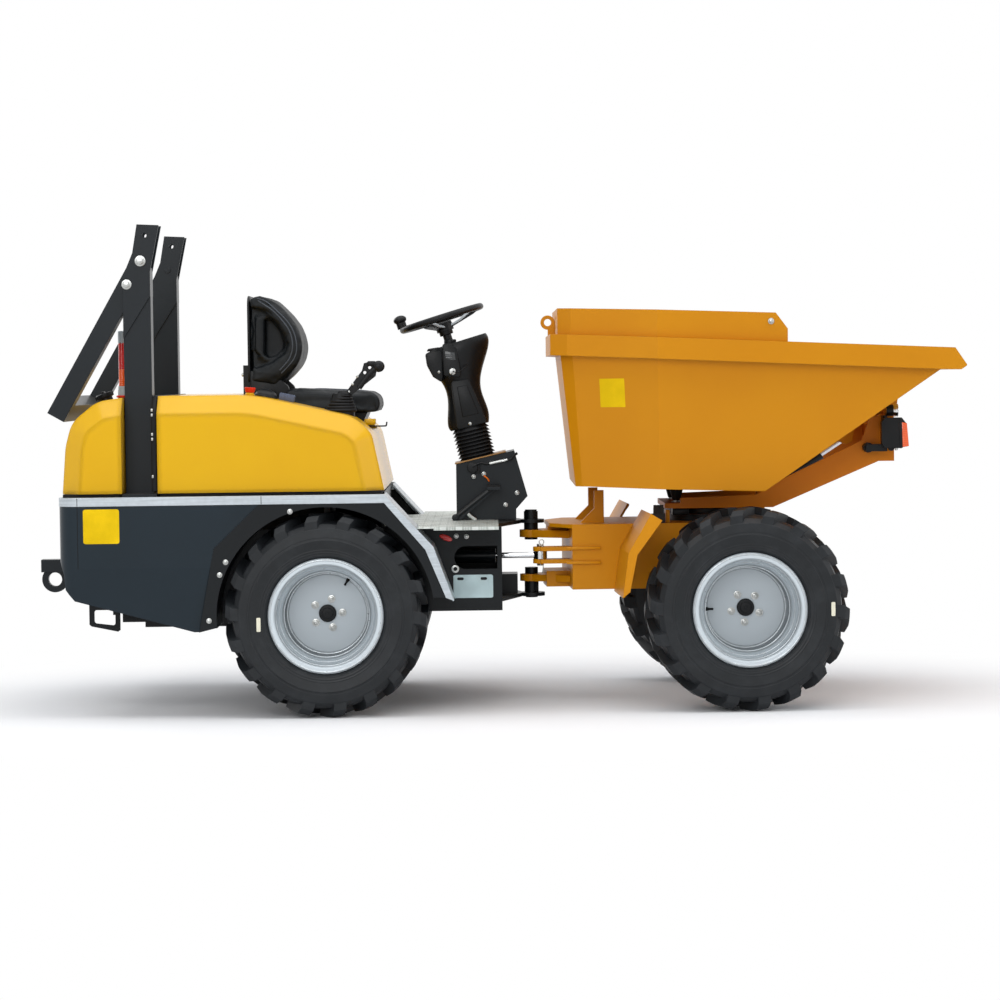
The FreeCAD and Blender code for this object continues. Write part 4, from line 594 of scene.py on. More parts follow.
GRIP_PLASTIC = Moulding("grip_plastic", srgb(12, 13, 15), 0.34, 1200.0)
SEAL_RUBBER = Moulding("seal_rubber", srgb(16, 16, 17), 0.66, 500.0)
BELLOWS_RUBBER = Moulding("bellows_rubber", srgb(16, 17, 19), 0.56, 800.0)
SEAT_VINYL = Hide("seat_vinyl", srgb(15, 19, 22))
STICKER_YELLOW = Moulding("sticker_yellow", srgb(213, 176, 2), 0.42, 60.0, 0.00001, 0.0005, 0.1)
PLATE_PALE = Moulding("plate_pale", srgb(172, 192, 195), 0.4, 60.0, 0.00001, 0.0005)
PATCH_PALE = Moulding("patch_pale", srgb(214, 210, 190), 0.5, 60.0, 0.00001, 0.0005)
PLUG_BLUE = Moulding("plug_blue", srgb(78, 88, 112), 0.35, 500.0)
PIPING_GREY = Moulding("piping_grey", srgb(66, 71, 78), 0.4, 900.0, 0.00005)
EDGE_BRONZE = Bare("edge_bronze", srgb(146, 108, 62), 0.4, (30.0, 30.0, 30.0), metal=0.6)
KNOB_RED = Moulding("knob_red", srgb(205, 46, 22), 0.32, 900.0, 0.00003)
FITTING_ORANGE = Moulding("fitting_orange", srgb(222, 108, 22), 0.4, 700.0)
LENS_SMOKE = Lens("lens_smoke", srgb(20, 26, 30))
LENS_AMBER = Lens("lens_amber", srgb(222, 82, 2))
LENS_RED = Lens("lens_red", srgb(190, 18, 14))
LENS_CLEAR = Lens("lens_clear", srgb(206, 212, 216))
LAMP_MIRROR = Bare("lamp_mirror", srgb(226, 228, 230), 0.12, (8.0, 8.0, 8.0), 0.00001)


class PaintShop:
    """Makes each finish once and puts it on CAD nodes and new pieces."""

    def __init__(self, frame: dict) -> None:
        """Keep the loaded frame.
        """
        self.nodes = frame["nodes"]
        self.made: dict[Finish, bpy.types.Material] = {}

    def material(self, finish: Finish) -> bpy.types.Material:
        """Return a finish as a material, made on its first use."""
        if finish not in self.made:
            self.made[finish] = finish.material()
        return self.made[finish]

    def coat_nodes(self, finish: Finish, *names: str) -> None:
        """Put a finish on CAD nodes."""
        for name in names:
            item = self.nodes[name]
            if not item.material_slots:
                item.data.materials.append(None)
            for place in item.material_slots:
                place.material = self.material(finish)

    def coat(self, item: bpy.types.Object, finish: Finish, slot: str) -> bpy.types.Object:
        """Put a finish on a new piece.

        Args:
            item: The piece.
            finish: Its finish.
            slot: The record's material slot that the finish belongs to; it is not used.

        Returns:
            The piece.
        """
        item.data.materials.clear()
        item.data.materials.append(self.material(finish))
        return item


# The bench: Blender's own tools, one call for each kind of work


class Bench:
    """Models pieces with Blender's operators and hands them over finished.

    Sizes and places are millimetres, measured on the part of the machine that the piece belongs to.
    """

    def __init__(self, shop: PaintShop) -> None:
        """Keep the paint shop.

        Args:
            shop: Where finished pieces are coated.
        """
        self.shop = shop

    def clear(self) -> None:
        """Leave nothing selected and nothing in edit mode."""
        if bpy.context.object and bpy.context.object.mode != "OBJECT":
            bpy.ops.object.mode_set(mode="OBJECT")
        bpy.ops.object.select_all(action="DESELECT")

    def named(self, name: str) -> bpy.types.Object:
        """Name the active object and return it."""
        item = bpy.context.object
        item.name = name
        item.data.name = name
        return item

    def cylinder(self, name: str, radius: float, depth: float, centre: Point, axis: Axis = Axis.Y,
                 sides: int = 32) -> bpy.types.Object:
        """Add a round or, with few sides, a many-sided bar, laid along an axis about its centre."""
        self.clear()
        bpy.ops.mesh.primitive_cylinder_add(vertices=sides, radius=metres(radius), depth=metres(depth),
                                            location=spot(*centre), rotation=axis.turn())
        return self.settle(self.named(name))

    def cone(self, name: str, low: float, high: float, depth: float, centre: Point, axis: Axis = Axis.Z,
             sides: int = 32) -> bpy.types.Object:
        """Add a tapered bar, laid along an axis about its centre."""
        self.clear()
        bpy.ops.mesh.primitive_cone_add(vertices=sides, radius1=metres(low), radius2=metres(high),
                                        depth=metres(depth), location=spot(*centre), rotation=axis.turn())
        return self.settle(self.named(name))

    def ring(self, name: str, radius: float, thick: float, centre: Point, axis: Axis = Axis.Y
             ) -> bpy.types.Object:
        """Add a round ring about an axis."""
        self.clear()
        bpy.ops.mesh.primitive_torus_add(major_radius=metres(radius), minor_radius=metres(thick),
                                         major_segments=48, minor_segments=10, location=spot(*centre),
                                         rotation=axis.turn())
        return self.settle(self.named(name))

    def ball(self, name: str, radius: float, centre: Point, stretch: Sequence[float] = (1, 1, 1)
             ) -> bpy.types.Object:
        """Add a ball, stretched along the axes."""
        self.clear()
        bpy.ops.mesh.primitive_uv_sphere_add(segments=28, ring_count=16, radius=metres(radius),
                                             location=spot(*centre), scale=stretch)
        return self.settle(self.named(name))

    def block(self, name: str, low: Point, high: Point, round_off: float = 1.5) -> bpy.types.Object:
        """Add a box between two corners, its edges rounded."""
        self.clear()
        near, far = spot(*low), spot(*high)
        bpy.ops.mesh.primitive_cube_add(size=1.0, location=(near + far) / 2, scale=far - near)
        return self.soften(self.settle(self.named(name)), round_off)

    def plate(self, name: str, corners: Sequence[Point], reach: Point) -> bpy.types.Object:
        """Add a flat outline and extrude it.

        Args:
            name: The piece's name.
            corners: The outline's corners in order.
            reach: How far and which way it is extruded.

        Returns:
            The plate.
        """
        self.clear()
        bpy.ops.mesh.primitive_circle_add(vertices=len(corners), radius=0.01, fill_type="NGON")
        item = self.named(name)
        for vertex, corner in zip(item.data.vertices, corners):
            vertex.co = spot(*corner)
        item.data.update()
        bpy.ops.object.mode_set(mode="EDIT")
        bpy.ops.mesh.select_all(action="SELECT")
        bpy.ops.mesh.extrude_region_move(TRANSFORM_OT_translate={"value": spot(*reach)})
        bpy.ops.mesh.select_all(action="SELECT")
        bpy.ops.mesh.normals_make_consistent(inside=False)
        bpy.ops.object.mode_set(mode="OBJECT")
        return item

    def side_plate(self, name: str, outline: Sequence[tuple[float, float]], low: float, high: float,
                   round_off: float = 1.0) -> bpy.types.Object:
        """Add a plate whose outline is drawn in X and Z, from Y = low to Y = high."""
        item = self.plate(name, [(x, low, z) for x, z in outline], (0.0, high - low, 0.0))
        return self.soften(item, round_off)

    def tube(self, name: str, points: Sequence[Point], radius: float, smooth: bool = True
             ) -> bpy.types.Object:
        """Bend a round bar through points and make it a mesh."""
        self.clear()
        line = bpy.data.curves.new(name, "CURVE")
        line.dimensions = "3D"
        line.bevel_depth = metres(radius)
        line.bevel_resolution = 3
        line.use_fill_caps = True
        spline = line.splines.new("NURBS" if smooth else "POLY")
        spline.points.add(len(points) - 1)
        for point, place in zip(spline.points, points):
            point.co = (*spot(*place), 1.0)
        if smooth:
            spline.order_u = 3
            spline.use_endpoint_u = True
            line.resolution_u = 8
        item = bpy.data.objects.new(name, line)
        bpy.context.collection.objects.link(item)
        item.select_set(True)
        bpy.context.view_layer.objects.active = item
        bpy.ops.object.convert(target="MESH")
        return self.settle(self.named(name))

    def settle(self, item: bpy.types.Object) -> bpy.types.Object:
        """Put a piece's place into its mesh."""
        self.pick(item)
        bpy.ops.object.transform_apply(location=True, rotation=True, scale=True)
        return item

    def pick(self, item: bpy.types.Object) -> None:
        """Select one piece alone and make it active."""
        self.clear()
        item.select_set(True)
        bpy.context.view_layer.objects.active = item

    def soften(self, item: bpy.types.Object, width: float, steps: int = 2, angle: float = 35.0
               ) -> bpy.types.Object:
        """Round a piece's sharp edges."""
        if width <= 0.0:
            return item
        tool = item.modifiers.new("soften", "BEVEL")
        tool.width = metres(width)
        tool.segments = steps
        tool.limit_method = "ANGLE"
        tool.angle_limit = math.radians(angle)
        return self.apply(item, tool)

    def apply(self, item: bpy.types.Object, tool: bpy.types.Modifier) -> bpy.types.Object:
        """Apply a modifier."""
        self.pick(item)
        bpy.ops.object.modifier_apply(modifier=tool.name)
        return item

    def carve(self, item: bpy.types.Object, *cutters: bpy.types.Object) -> bpy.types.Object:
        """Cut pieces out of a piece and remove the cutters."""
        for cutter in cutters:
            tool = item.modifiers.new("carve", "BOOLEAN")
            tool.object = cutter
            tool.operation = "DIFFERENCE"
            tool.solver = "EXACT"
            self.apply(item, tool)
            bpy.data.objects.remove(cutter)
        return item

    def lean(self, item: bpy.types.Object, degrees: float, axis: Axis, about: Point = (0.0, 0.0, 0.0)
             ) -> bpy.types.Object:
        """Turn a piece about an axis through a place."""
        centre = spot(*about)
        turn = Matrix.Rotation(math.radians(degrees), 4, axis.value)
        item.data.transform(Matrix.Translation(centre) @ turn @ Matrix.Translation(-centre))
        return item

    def join(self, name: str, items: Iterable[bpy.types.Object]) -> bpy.types.Object:
        """Join pieces of one finish into one object."""
        items = list(items)
        self.clear()
        for item in items:
            item.select_set(True)
        bpy.context.view_layer.objects.active = items[0]
        if len(items) > 1:
            bpy.ops.object.join()
        return self.named(name)

    def copies(self, name: str, source: bpy.types.Object, moves: Iterable[Matrix]) -> bpy.types.Object:
        """Copy a piece for each move and join the copies into one object."""
        made = []
        for move in moves:
            item = source.copy()
            item.data = source.data.copy()
            bpy.context.collection.objects.link(item)
            item.data.transform(move)
            made.append(item)
        bpy.data.objects.remove(source)
        return self.join(name, made)

    def bolts(self, name: str, places: Sequence[Point], across: float, axis: Axis = Axis.Y, out: int = -1
              ) -> bpy.types.Object:
        """Model one hexagon bolt head on its washer and set a copy of it at each place.

        Args:
            name: The piece's name.
            places: Where the washers touch what they hold.
            across: The hexagon's width across its flats.
            axis: The direction of the bolts.
            out: 1 where the heads face up the axis, -1 where they face down it.

        Returns:
            All the bolts as one piece.
        """
        height = across * 0.5
        washer = self.soften(self.cylinder("washer", across * 0.78, 2.4, (0.0, 0.0, 1.2), Axis.Z), 0.6)
        head = self.cylinder("head", across * 0.577, height, (0.0, 0.0, 2.4 + height / 2), Axis.Z, 6)
        dome = self.cone("dome", across * 0.5, across * 0.34, 1.4, (0.0, 0.0, 3.1 + height), Axis.Z, 24)
        bolt = self.join("bolt", [washer, self.soften(head, 0.9), dome])
        turn = axis.facing(out)
        return self.copies(name, bolt, [Matrix.Translation(spot(*place)) @ turn for place in places])

    def both_sides(self, item: bpy.types.Object) -> bpy.types.Object:
        """Add the mirror image across the machine's middle plane to a piece."""
        self.pick(item)
        name = item.name
        bpy.ops.object.duplicate()
        image = bpy.context.object
        image.data.transform(Matrix.Scale(-1.0, 4, (0.0, 1.0, 0.0)))
        image.data.flip_normals()
        return self.join(name, [item, image])

    def hand_over(self, item: bpy.types.Object, finish: Finish, slot: str, body: str,
                  station: Station = REAR, angle: float = 35.0) -> bpy.types.Object:
        """Close, smooth and coat a piece, set it on its station and let it ride.

        Args:
            item: The piece.
            finish: Its finish.
            slot: The record's material slot.
            body: The CAD body that it moves with.
            station: The part of the machine that it was measured on.
            angle: Edges sharper than this stay sharp, in degrees.

        Returns:
            The finished piece.
        """
        item.matrix_world = station.matrix()
        self.settle(item)
        bpy.ops.object.mode_set(mode="EDIT")
        bpy.ops.mesh.select_all(action="SELECT")
        bpy.ops.mesh.remove_doubles(threshold=0.00001)
        bpy.ops.mesh.normals_make_consistent(inside=False)
        bpy.ops.object.mode_set(mode="OBJECT")
        bpy.ops.object.shade_smooth_by_angle(angle=math.radians(angle))
        self.shop.coat(item, finish, slot)
        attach(item, body)
        log.info("%s rides on %s: %d faces", item.name, body, len(item.data.polygons))
        return item


# Where pieces sit on the CAD nodes


class Surface:
    """Finds the place and the slope of a mesh where a straight line meets it."""

    def __init__(self, item: bpy.types.Object) -> None:
        """Keep a search tree of the mesh.

        Args:
            item: The CAD node or the finished piece that carries others.
        """
        mesh = item.data
        self.tree = BVHTree.FromPolygons([vertex.co for vertex in mesh.vertices],
                                         [face.vertices for face in mesh.polygons])

    def seat(self, station: Station, start: Point, way: Point) -> Matrix:
        """Return the move that sets a piece, modelled on the ground at the origin, onto the mesh.

        The piece's Z then follows the slope's normal and its Y the machine's upright direction.

        Args:
            station: The part of the machine that places are measured on.
            start: Where the line starts, in millimetres.
            way: Which way it runs.

        Returns:
            The move, in the station's own frame.
        """
        frame = station.matrix()
        place, normal, _, _ = self.tree.ray_cast(frame @ spot(*start), frame.to_3x3() @ Vector(way))
        if normal.dot(frame.to_3x3() @ Vector(way)) > 0.0:
            normal = -normal
        back = frame.inverted()
        normal = (back.to_3x3() @ normal).normalized()
        upright = Vector((0.0, 0.0, 1.0)) if abs(normal.z) < 0.9 else Vector((1.0, 0.0, 0.0))
        side = upright.cross(normal).normalized()
        turn = Matrix((side, normal.cross(side), normal)).transposed().to_4x4()
        return Matrix.Translation(back @ place) @ turn

    def from_side(self, station: Station, x: float, z: float, side: int) -> Matrix:
        """Return the move that sets a piece on the right (-1) or left (1) side at a place in X and Z."""
        return self.seat(station, (x, side * BESIDE, z), (0.0, -side, 0.0))

    def from_above(self, station: Station, x: float, y: float) -> Matrix:
        """Return the move that sets a piece on the mesh from above, at a place in X and Y."""
        return self.seat(station, (x, y, ABOVE), (0.0, 0.0, -1.0))

    def nearest(self, place: Point) -> Point:
        """Return the nearest place on the mesh, both in millimetres of the model's frame."""
        found = self.tree.find_nearest(spot(*place))[0]
        return millimetres(found)


def rounded_box(low: tuple[float, float], high: tuple[float, float], radius: float
                ) -> list[tuple[float, float]]:
    """Return the outline of a flat box with round corners, anticlockwise.

    Args:
        low: The lower left corner, in millimetres.
        high: The upper right corner.
        radius: The corners' radius.

    Returns:
        The outline's places.
    """
    centres = ((high[0] - radius, low[1] + radius, -90.0), (high[0] - radius, high[1] - radius, 0.0),
               (low[0] + radius, high[1] - radius, 90.0), (low[0] + radius, low[1] + radius, 180.0))
    outline = []
    for across, up, start in centres:
        for step in range(6):
            angle = math.radians(start + 18.0 * step)
            outline.append((across + radius * math.cos(angle), up + radius * math.sin(angle)))
    return outline


class Assembly:
    """A sub-assembly of the machine that is dressed in one go."""

    body = "rear_unit"
    station = REAR

    def surface(self, bench: Bench, node: str) -> Surface:
        """Return the surface of a CAD node."""
        return Surface(bench.shop.nodes[node])

    def finish(self, bench: Bench, item: bpy.types.Object, finish: Finish, slot: str,
               body: str | None = None, angle: float = 35.0) -> bpy.types.Object:
        """Hand a piece over on this assembly's station and body, unless another body is named."""
        return bench.hand_over(item, finish, slot, body or self.body, self.station, angle)

    def bolted(self, bench: Bench, name: str, carrier: str, places: Sequence[tuple[float, float]],
               across: float = 13.0, side: int = -1) -> bpy.types.Object:
        """Set bolts on one side of a CAD node, each given by its place in X and Z."""
        bolt = bench.bolts("bolt", [(0.0, 0.0, 0.0)], across, Axis.Z, 1)
        surface = self.surface(bench, carrier)
        return bench.copies(name, bolt, [surface.from_side(self.station, x, z, side) for x, z in places])

    def blank_label(self, bench: Bench, name: str, carrier: str, centre: tuple[float, float],
                    size: tuple[float, float], side: int = -1, corner: float = 9.0) -> bpy.types.Object:
        """Lay a blank label on one side of a CAD node."""
        half_wide, half_high = size[0] / 2, size[1] / 2
        outline = rounded_box((-half_wide, -half_high), (half_wide, half_high), corner)
        label = bench.plate(name, [(x, y, 0.05) for x, y in outline], (0.0, 0.0, 0.7))
        label.data.transform(self.surface(bench, carrier).from_side(self.station, *centre, side))
        return label


# Wheels

# Each rim's raised rings: their radius, thickness and distance from the machine's middle plane
RIM_RINGS = ((208.5, 4.6, 692.5), (188.0, 3.2, 664.0), (176.0, 2.6, 635.0), (160.5, 3.2, 606.0),
             (152.0, 4.4, 548.5))


@dataclass
class Wheel(Assembly):
    """What is on one wheel: the rim's rings, nuts, hub cap, valve and a blank patch."""

    name: str
    along: float
    side: int
    first_nut: float
    valve_turn: float
    patch: tuple[float, float]
    body: str = ""
    station: Station = REAR
    axle_height: float = AXLE_HEIGHT
    disc_face: float = 545.0
    spigot_face: float = 551.0
    nut_circle: float = 56.0
    nut_count: int = 5
    nut_across: float = 19.0

    def build(self, bench: Bench) -> None:
        """Build the pieces of this wheel."""
        self._rings(bench)
        self._nuts(bench)
        self._hub_cap(bench)
        self._valve(bench)
        self._blank_patch(bench)

    def _around(self, degrees: float, radius: float, across: float) -> Point:
        """Return a place about the axle, its turn seen from the machine's right side."""
        angle = math.radians(degrees)
        return (self.along + radius * math.cos(angle), self.side * across,
                self.axle_height + radius * math.sin(angle))

    def _rings(self, bench: Bench) -> None:
        """Roll the flange's edge, and raise the bead hump, the well's edge and the disc's weld."""
        rings = [bench.ring("ring", radius, thick, self._around(0.0, 0.0, across))
                 for radius, thick, across in RIM_RINGS]
        self.finish(bench, bench.join(f"{self.name}_rings", rings), RING_STEEL, "rim_grey", angle=60.0)

    def _nuts(self, bench: Bench) -> None:
        """Set the wheel nuts on the disc."""
        step = 360.0 / self.nut_count
        places = [self._around(self.first_nut + step * turn, self.nut_circle, self.disc_face)
                  for turn in range(self.nut_count)]
        nuts = bench.bolts(f"{self.name}_nuts", places, self.nut_across, Axis.Y, self.side)
        stud = bench.cone("stud", 5.4, 4.4, 5.0, (0.0, 0.0, self.nut_across * 0.5 + 4.0), Axis.Z, 20)
        moves = [Matrix.Translation(spot(*place)) @ Axis.Y.facing(self.side) for place in places]
        ends = bench.copies("stud_ends", stud, moves)
        self.finish(bench, bench.join(f"{self.name}_nuts", [nuts, ends]), ZINC_BOLT, "rim_grey")

    def _hub_cap(self, bench: Bench) -> None:
        """Close the hub's hole with a stepped black cap."""
        face = self.spigot_face
        rim = bench.cylinder("cap_rim", 31.5, 5.0, self._around(0.0, 0.0, face + 3.0))
        dome = bench.cylinder("cap_dome", 21.0, 5.0, self._around(0.0, 0.0, face + 6.5))
        dimple = bench.cylinder("cap_dimple", 7.0, 4.0, self._around(0.0, 0.0, face + 9.5))
        dome = bench.carve(bench.soften(dome, 2.0, 3), dimple)
        cap = bench.join(f"{self.name}_hub_cap", [bench.soften(rim, 1.6, 3), dome])
        self.finish(bench, cap, BLACK_PLASTIC, "black_plastic")

    def _valve(self, bench: Bench) -> None:
        """Stand the rubber valve on the rim's ramp, pointing in towards the hub and outwards."""
        out = self.side * (self.disc_face + 17.0)
        stem = bench.soften(bench.cone("stem", 3.6, 9.5, 30.0, (0.0, out, 146.0)), 1.0)
        cap = bench.soften(bench.cylinder("valve_cap", 4.4, 11.0, (0.0, out, 128.0), Axis.Z, 12), 0.8)
        valve = bench.join(f"{self.name}_valve", [stem, cap])
        bench.lean(valve, self.side * 26.0, Axis.X, (0.0, out, 160.0))
        bench.lean(valve, 90.0 - self.valve_turn, Axis.Y)
        valve.data.transform(Matrix.Translation(spot(self.along, 0.0, self.axle_height)))
        self.finish(bench, valve, GRIP_PLASTIC, "black_plastic")

    def _blank_patch(self, bench: Bench) -> None:
        """Stick the blank patch on the tyre's wall."""
        ahead, rise = self.patch
        centre = (self.along + ahead, self.axle_height + rise)
        label = self.blank_label(bench, f"{self.name}_patch", f"{self.name}_tyre", centre, (15.0, 52.0),
                                 self.side, 3.0)
        self.finish(bench, label, PATCH_PALE, "rim_grey")


def wheels() -> list[Wheel]:
    """Return the four wheels' dressings."""
    # Each end's name, station and axle, the turn of its first nut and of its valve in degrees, and the
    # place of its patch from the axle
    ends = (("rear", REAR, -AXLE_REACH, 2.0, 58.0, (-249.0, -28.0)),
            ("front", FRONT, AXLE_REACH, 50.0, 181.0, (309.0, 0.0)))
    return [Wheel(f"{end}_{side}", along, sign, first, valve, patch, f"{end}_{side}_wheel", station)
            for end, station, along, first, valve, patch in ends
            for side, sign in SIDES]


# Rear body


@dataclass
class RearBody(Assembly):
    """What is fixed to the rear body: label, seams, bolts, reflectors, seal, caps and blank plate."""

    half: float = 690.0
    chassis_half: float = 400.0

    def build(self, bench: Bench) -> None:
        """Build the pieces of the rear body."""
        self._label(bench)
        self._seams(bench)
        self._fender_bolts(bench)
        self._chassis_side(bench)
        self._hood_seal(bench)
        self._tail_top(bench)
        self._hood_top(bench)
        self._hitch_bolts(bench)

    def _label(self, bench: Bench) -> None:
        """Lay the blank yellow label on the tail's right side."""
        label = self.blank_label(bench, "tail_label", "tail_skirt", (-1602.0, 723.0), (134.0, 128.0))
        self.finish(bench, label, STICKER_YELLOW, "hood_yellow")

    def _seams(self, bench: Bench) -> None:
        """Lay the dark joints of the trim band and of the tail's corners."""
        out = self.half + 2.0
        strips = [bench.block("seam", (x - 1.2, -out - 0.3, 799.0), (x + 1.2, -out + 3.0, 829.0), 0.0)
                  for x in (-1008.0, -1690.0)]
        strips.append(bench.block("seam", (-1691.2, -self.half - 0.3, 566.0),
                                  (-1688.8, -self.half + 3.0, 797.0), 0.0))
        seams = bench.both_sides(bench.join("body_seams", strips))
        self.finish(bench, seams, SEAL_RUBBER, "seal_rubber")

    def _fender_bolts(self, bench: Bench) -> None:
        """Set the bolts along the fenders."""
        places = ((-902.0, 770.0), (-1143.0, 585.0), (-1166.0, 538.0), (-1208.0, 368.0))
        for side, sign in SIDES:
            bolts = self.bolted(bench, f"fender_bolts_{side}", f"fender_{side}", places, 13.0, sign)
            self.finish(bench, bolts, ZINC_BOLT, "bright_trim")

    def _chassis_side(self, bench: Bench) -> None:
        """Dress the chassis' sides: bolts, lashing bushes, red reflectors and the blank plate."""
        face = self.chassis_half
        for side, sign in SIDES:
            bolts = self.bolted(bench, f"chassis_bolts_{side}", "rear_frame",
                                ((-290.0, 657.0), (-251.0, 655.0)), 12.0, sign)
            self.finish(bench, bolts, ZINC_BOLT, "bright_trim")
            name = f"lashing_bush_{side}"
            bush = bench.cylinder(name, 15.0, 9.0, (-295.0, sign * (face + 4.5), 532.0))
            hole = bench.cylinder("bush_hole", 7.5, 14.0, (-295.0, sign * (face + 6.0), 532.0))
            bush = bench.carve(bench.soften(bush, 1.5), hole)
            self.finish(bench, bush, ZINC_BOLT, "bright_trim")
            glass = bench.ball(f"reflector_{side}", 10.0, (0.0, 0.0, 0.0), (2.6, 0.45, 1.05))
            bench.lean(glass, 22.0, Axis.Y)
            glass.data.transform(Matrix.Translation(spot(-330.0, sign * (face + 0.5), 651.0)))
            self.finish(bench, glass, LENS_RED, "lamp_orange")
        self._blank_plate(bench)

    def _blank_plate(self, bench: Bench) -> None:
        """Hang the pale blank plate with its two slots on the right side."""
        low, high = -self.chassis_half - 3.2, -self.chassis_half - 0.1
        outline = rounded_box((-303.0, 421.0), (-152.0, 509.0), 7.0)
        plate = bench.plate("blank_plate", [(x, low, z) for x, z in outline], (0.0, high - low, 0.0))
        cutters = []
        for centre in (-276.0, -187.0):
            rear, front = centre - 7.0, centre + 7.0
            cutters.append(bench.cylinder("slot_end", 5.5, 12.0, (rear, low, 494.0)))
            cutters.append(bench.cylinder("slot_end", 5.5, 12.0, (front, low, 494.0)))
            cutters.append(bench.block("slot", (rear, low - 6.0, 488.5), (front, low + 6.0, 499.5), 0.0))
        plate = bench.soften(bench.carve(plate, *cutters), 0.5)
        self.finish(bench, plate, PLATE_PALE, "bright_trim")

    def _hood_seal(self, bench: Bench) -> None:
        """Run a rubber seal round the main hood's rear edge and set the pins of its hinges."""
        x, high, out, fall = -1407.0, 1196.0, 638.0, 60.0
        half = [(out, 850.0), (out, high - fall - 8.0), (out, high - fall), (out - fall, high),
                (out - fall - 8.0, high)]
        line = [(x, -y, z) for y, z in half] + [(x, y, z) for y, z in reversed(half)]
        seal = bench.tube("hood_rear_seal", line, 10.5, smooth=False)
        self.finish(bench, seal, SEAL_RUBBER, "seal_rubber", angle=60.0)
        pins = []
        for z in (1152.0, 1134.0, 1062.0, 1044.0, 905.0):
            pin = bench.cylinder("hinge_pin", 4.0, 11.0, (x - 5.0, -out - 11.0, z), Axis.Z, 16)
            pins.append(bench.soften(pin, 0.8))
        pins = bench.both_sides(bench.join("hood_hinge_pins", pins))
        self.finish(bench, pins, ZINC_BOLT, "bright_trim")

    def _tail_top(self, bench: Bench) -> None:
        """Set the filler cap on the tail hood."""
        seat = self.surface(bench, "hood_tail").from_above(self.station, -1615.0, -350.0)
        neck = bench.soften(bench.cylinder("neck", 27.0, 16.0, (0.0, 0.0, 6.0), Axis.Z), 2.0)
        cap = bench.soften(bench.cylinder("cap", 33.0, 20.0, (0.0, 0.0, 22.0), Axis.Z), 5.0, 3)
        grip = bench.block("grip", (29.0, -4.0, 14.0), (36.0, 4.0, 30.0))
        grips = bench.copies("cap_grips", grip, [Matrix.Rotation(math.radians(45.0 * turn), 4, "Z")
                                                 for turn in range(8)])
        handle = bench.block("cap_bar", (-25.0, -6.0, 30.0), (25.0, 6.0, 40.0), 3.0)
        cap = bench.join("filler_cap", [neck, cap, grips, handle])
        cap.data.transform(seat)
        self.finish(bench, cap, BLACK_PLASTIC, "black_plastic")

    def _hood_top(self, bench: Bench) -> None:
        """Set the red knob, the black dome and the plug block on the hood beside the seat."""
        hood = self.surface(bench, "hood_main")
        seat = hood.from_above(self.station, -1064.0, -430.0)
        foot = bench.soften(bench.cone("knob_foot", 21.0, 15.0, 12.0, (0.0, 0.0, 4.0)), 1.5)
        foot.data.transform(seat)
        self.finish(bench, foot, HOOD_YELLOW, "hood_yellow")
        knob = bench.soften(bench.cone("stop_knob", 17.0, 22.0, 20.0, (0.0, 0.0, 20.0)), 3.0, 3)
        knob.data.transform(seat)
        self.finish(bench, knob, KNOB_RED, "lamp_orange")
        seat = hood.from_above(self.station, -1009.0, -330.0)
        dome = bench.ball("dome", 10.0, (0.0, 0.0, 0.0), (4.4, 4.4, 3.0))
        skirt = bench.soften(bench.cylinder("dome_foot", 46.0, 6.0, (0.0, 0.0, 2.0), Axis.Z), 1.5)
        cover = bench.join("hood_dome", [dome, skirt])
        cover.data.transform(seat)
        self.finish(bench, cover, BLACK_PLASTIC, "black_plastic")
        seat = hood.from_above(self.station, -932.0, -330.0)
        block = bench.block("plug", (-16.0, -30.0, 0.0), (16.0, 30.0, 26.0), 3.0)
        ribs = [bench.block("plug_rib", (-17.0, y - 2.0, 4.0), (17.0, y + 2.0, 28.0), 0.8)
                for y in range(-24, 25, 8)]
        plug = bench.join("plug_block", [block, *ribs])
        plug.data.transform(seat)
        self.finish(bench, plug, PLUG_BLUE, "bright_trim")

    def _hitch_bolts(self, bench: Bench) -> None:
        """Bolt the tow hitch's plate to the tail."""
        places = [(-1778.0, y, z) for y in (-50.0, 50.0) for z in (452.0, 590.0)]
        bolts = bench.bolts("hitch_bolts", places, 16.0, Axis.X, -1)
        self.finish(bench, bolts, ZINC_BOLT, "bright_trim")


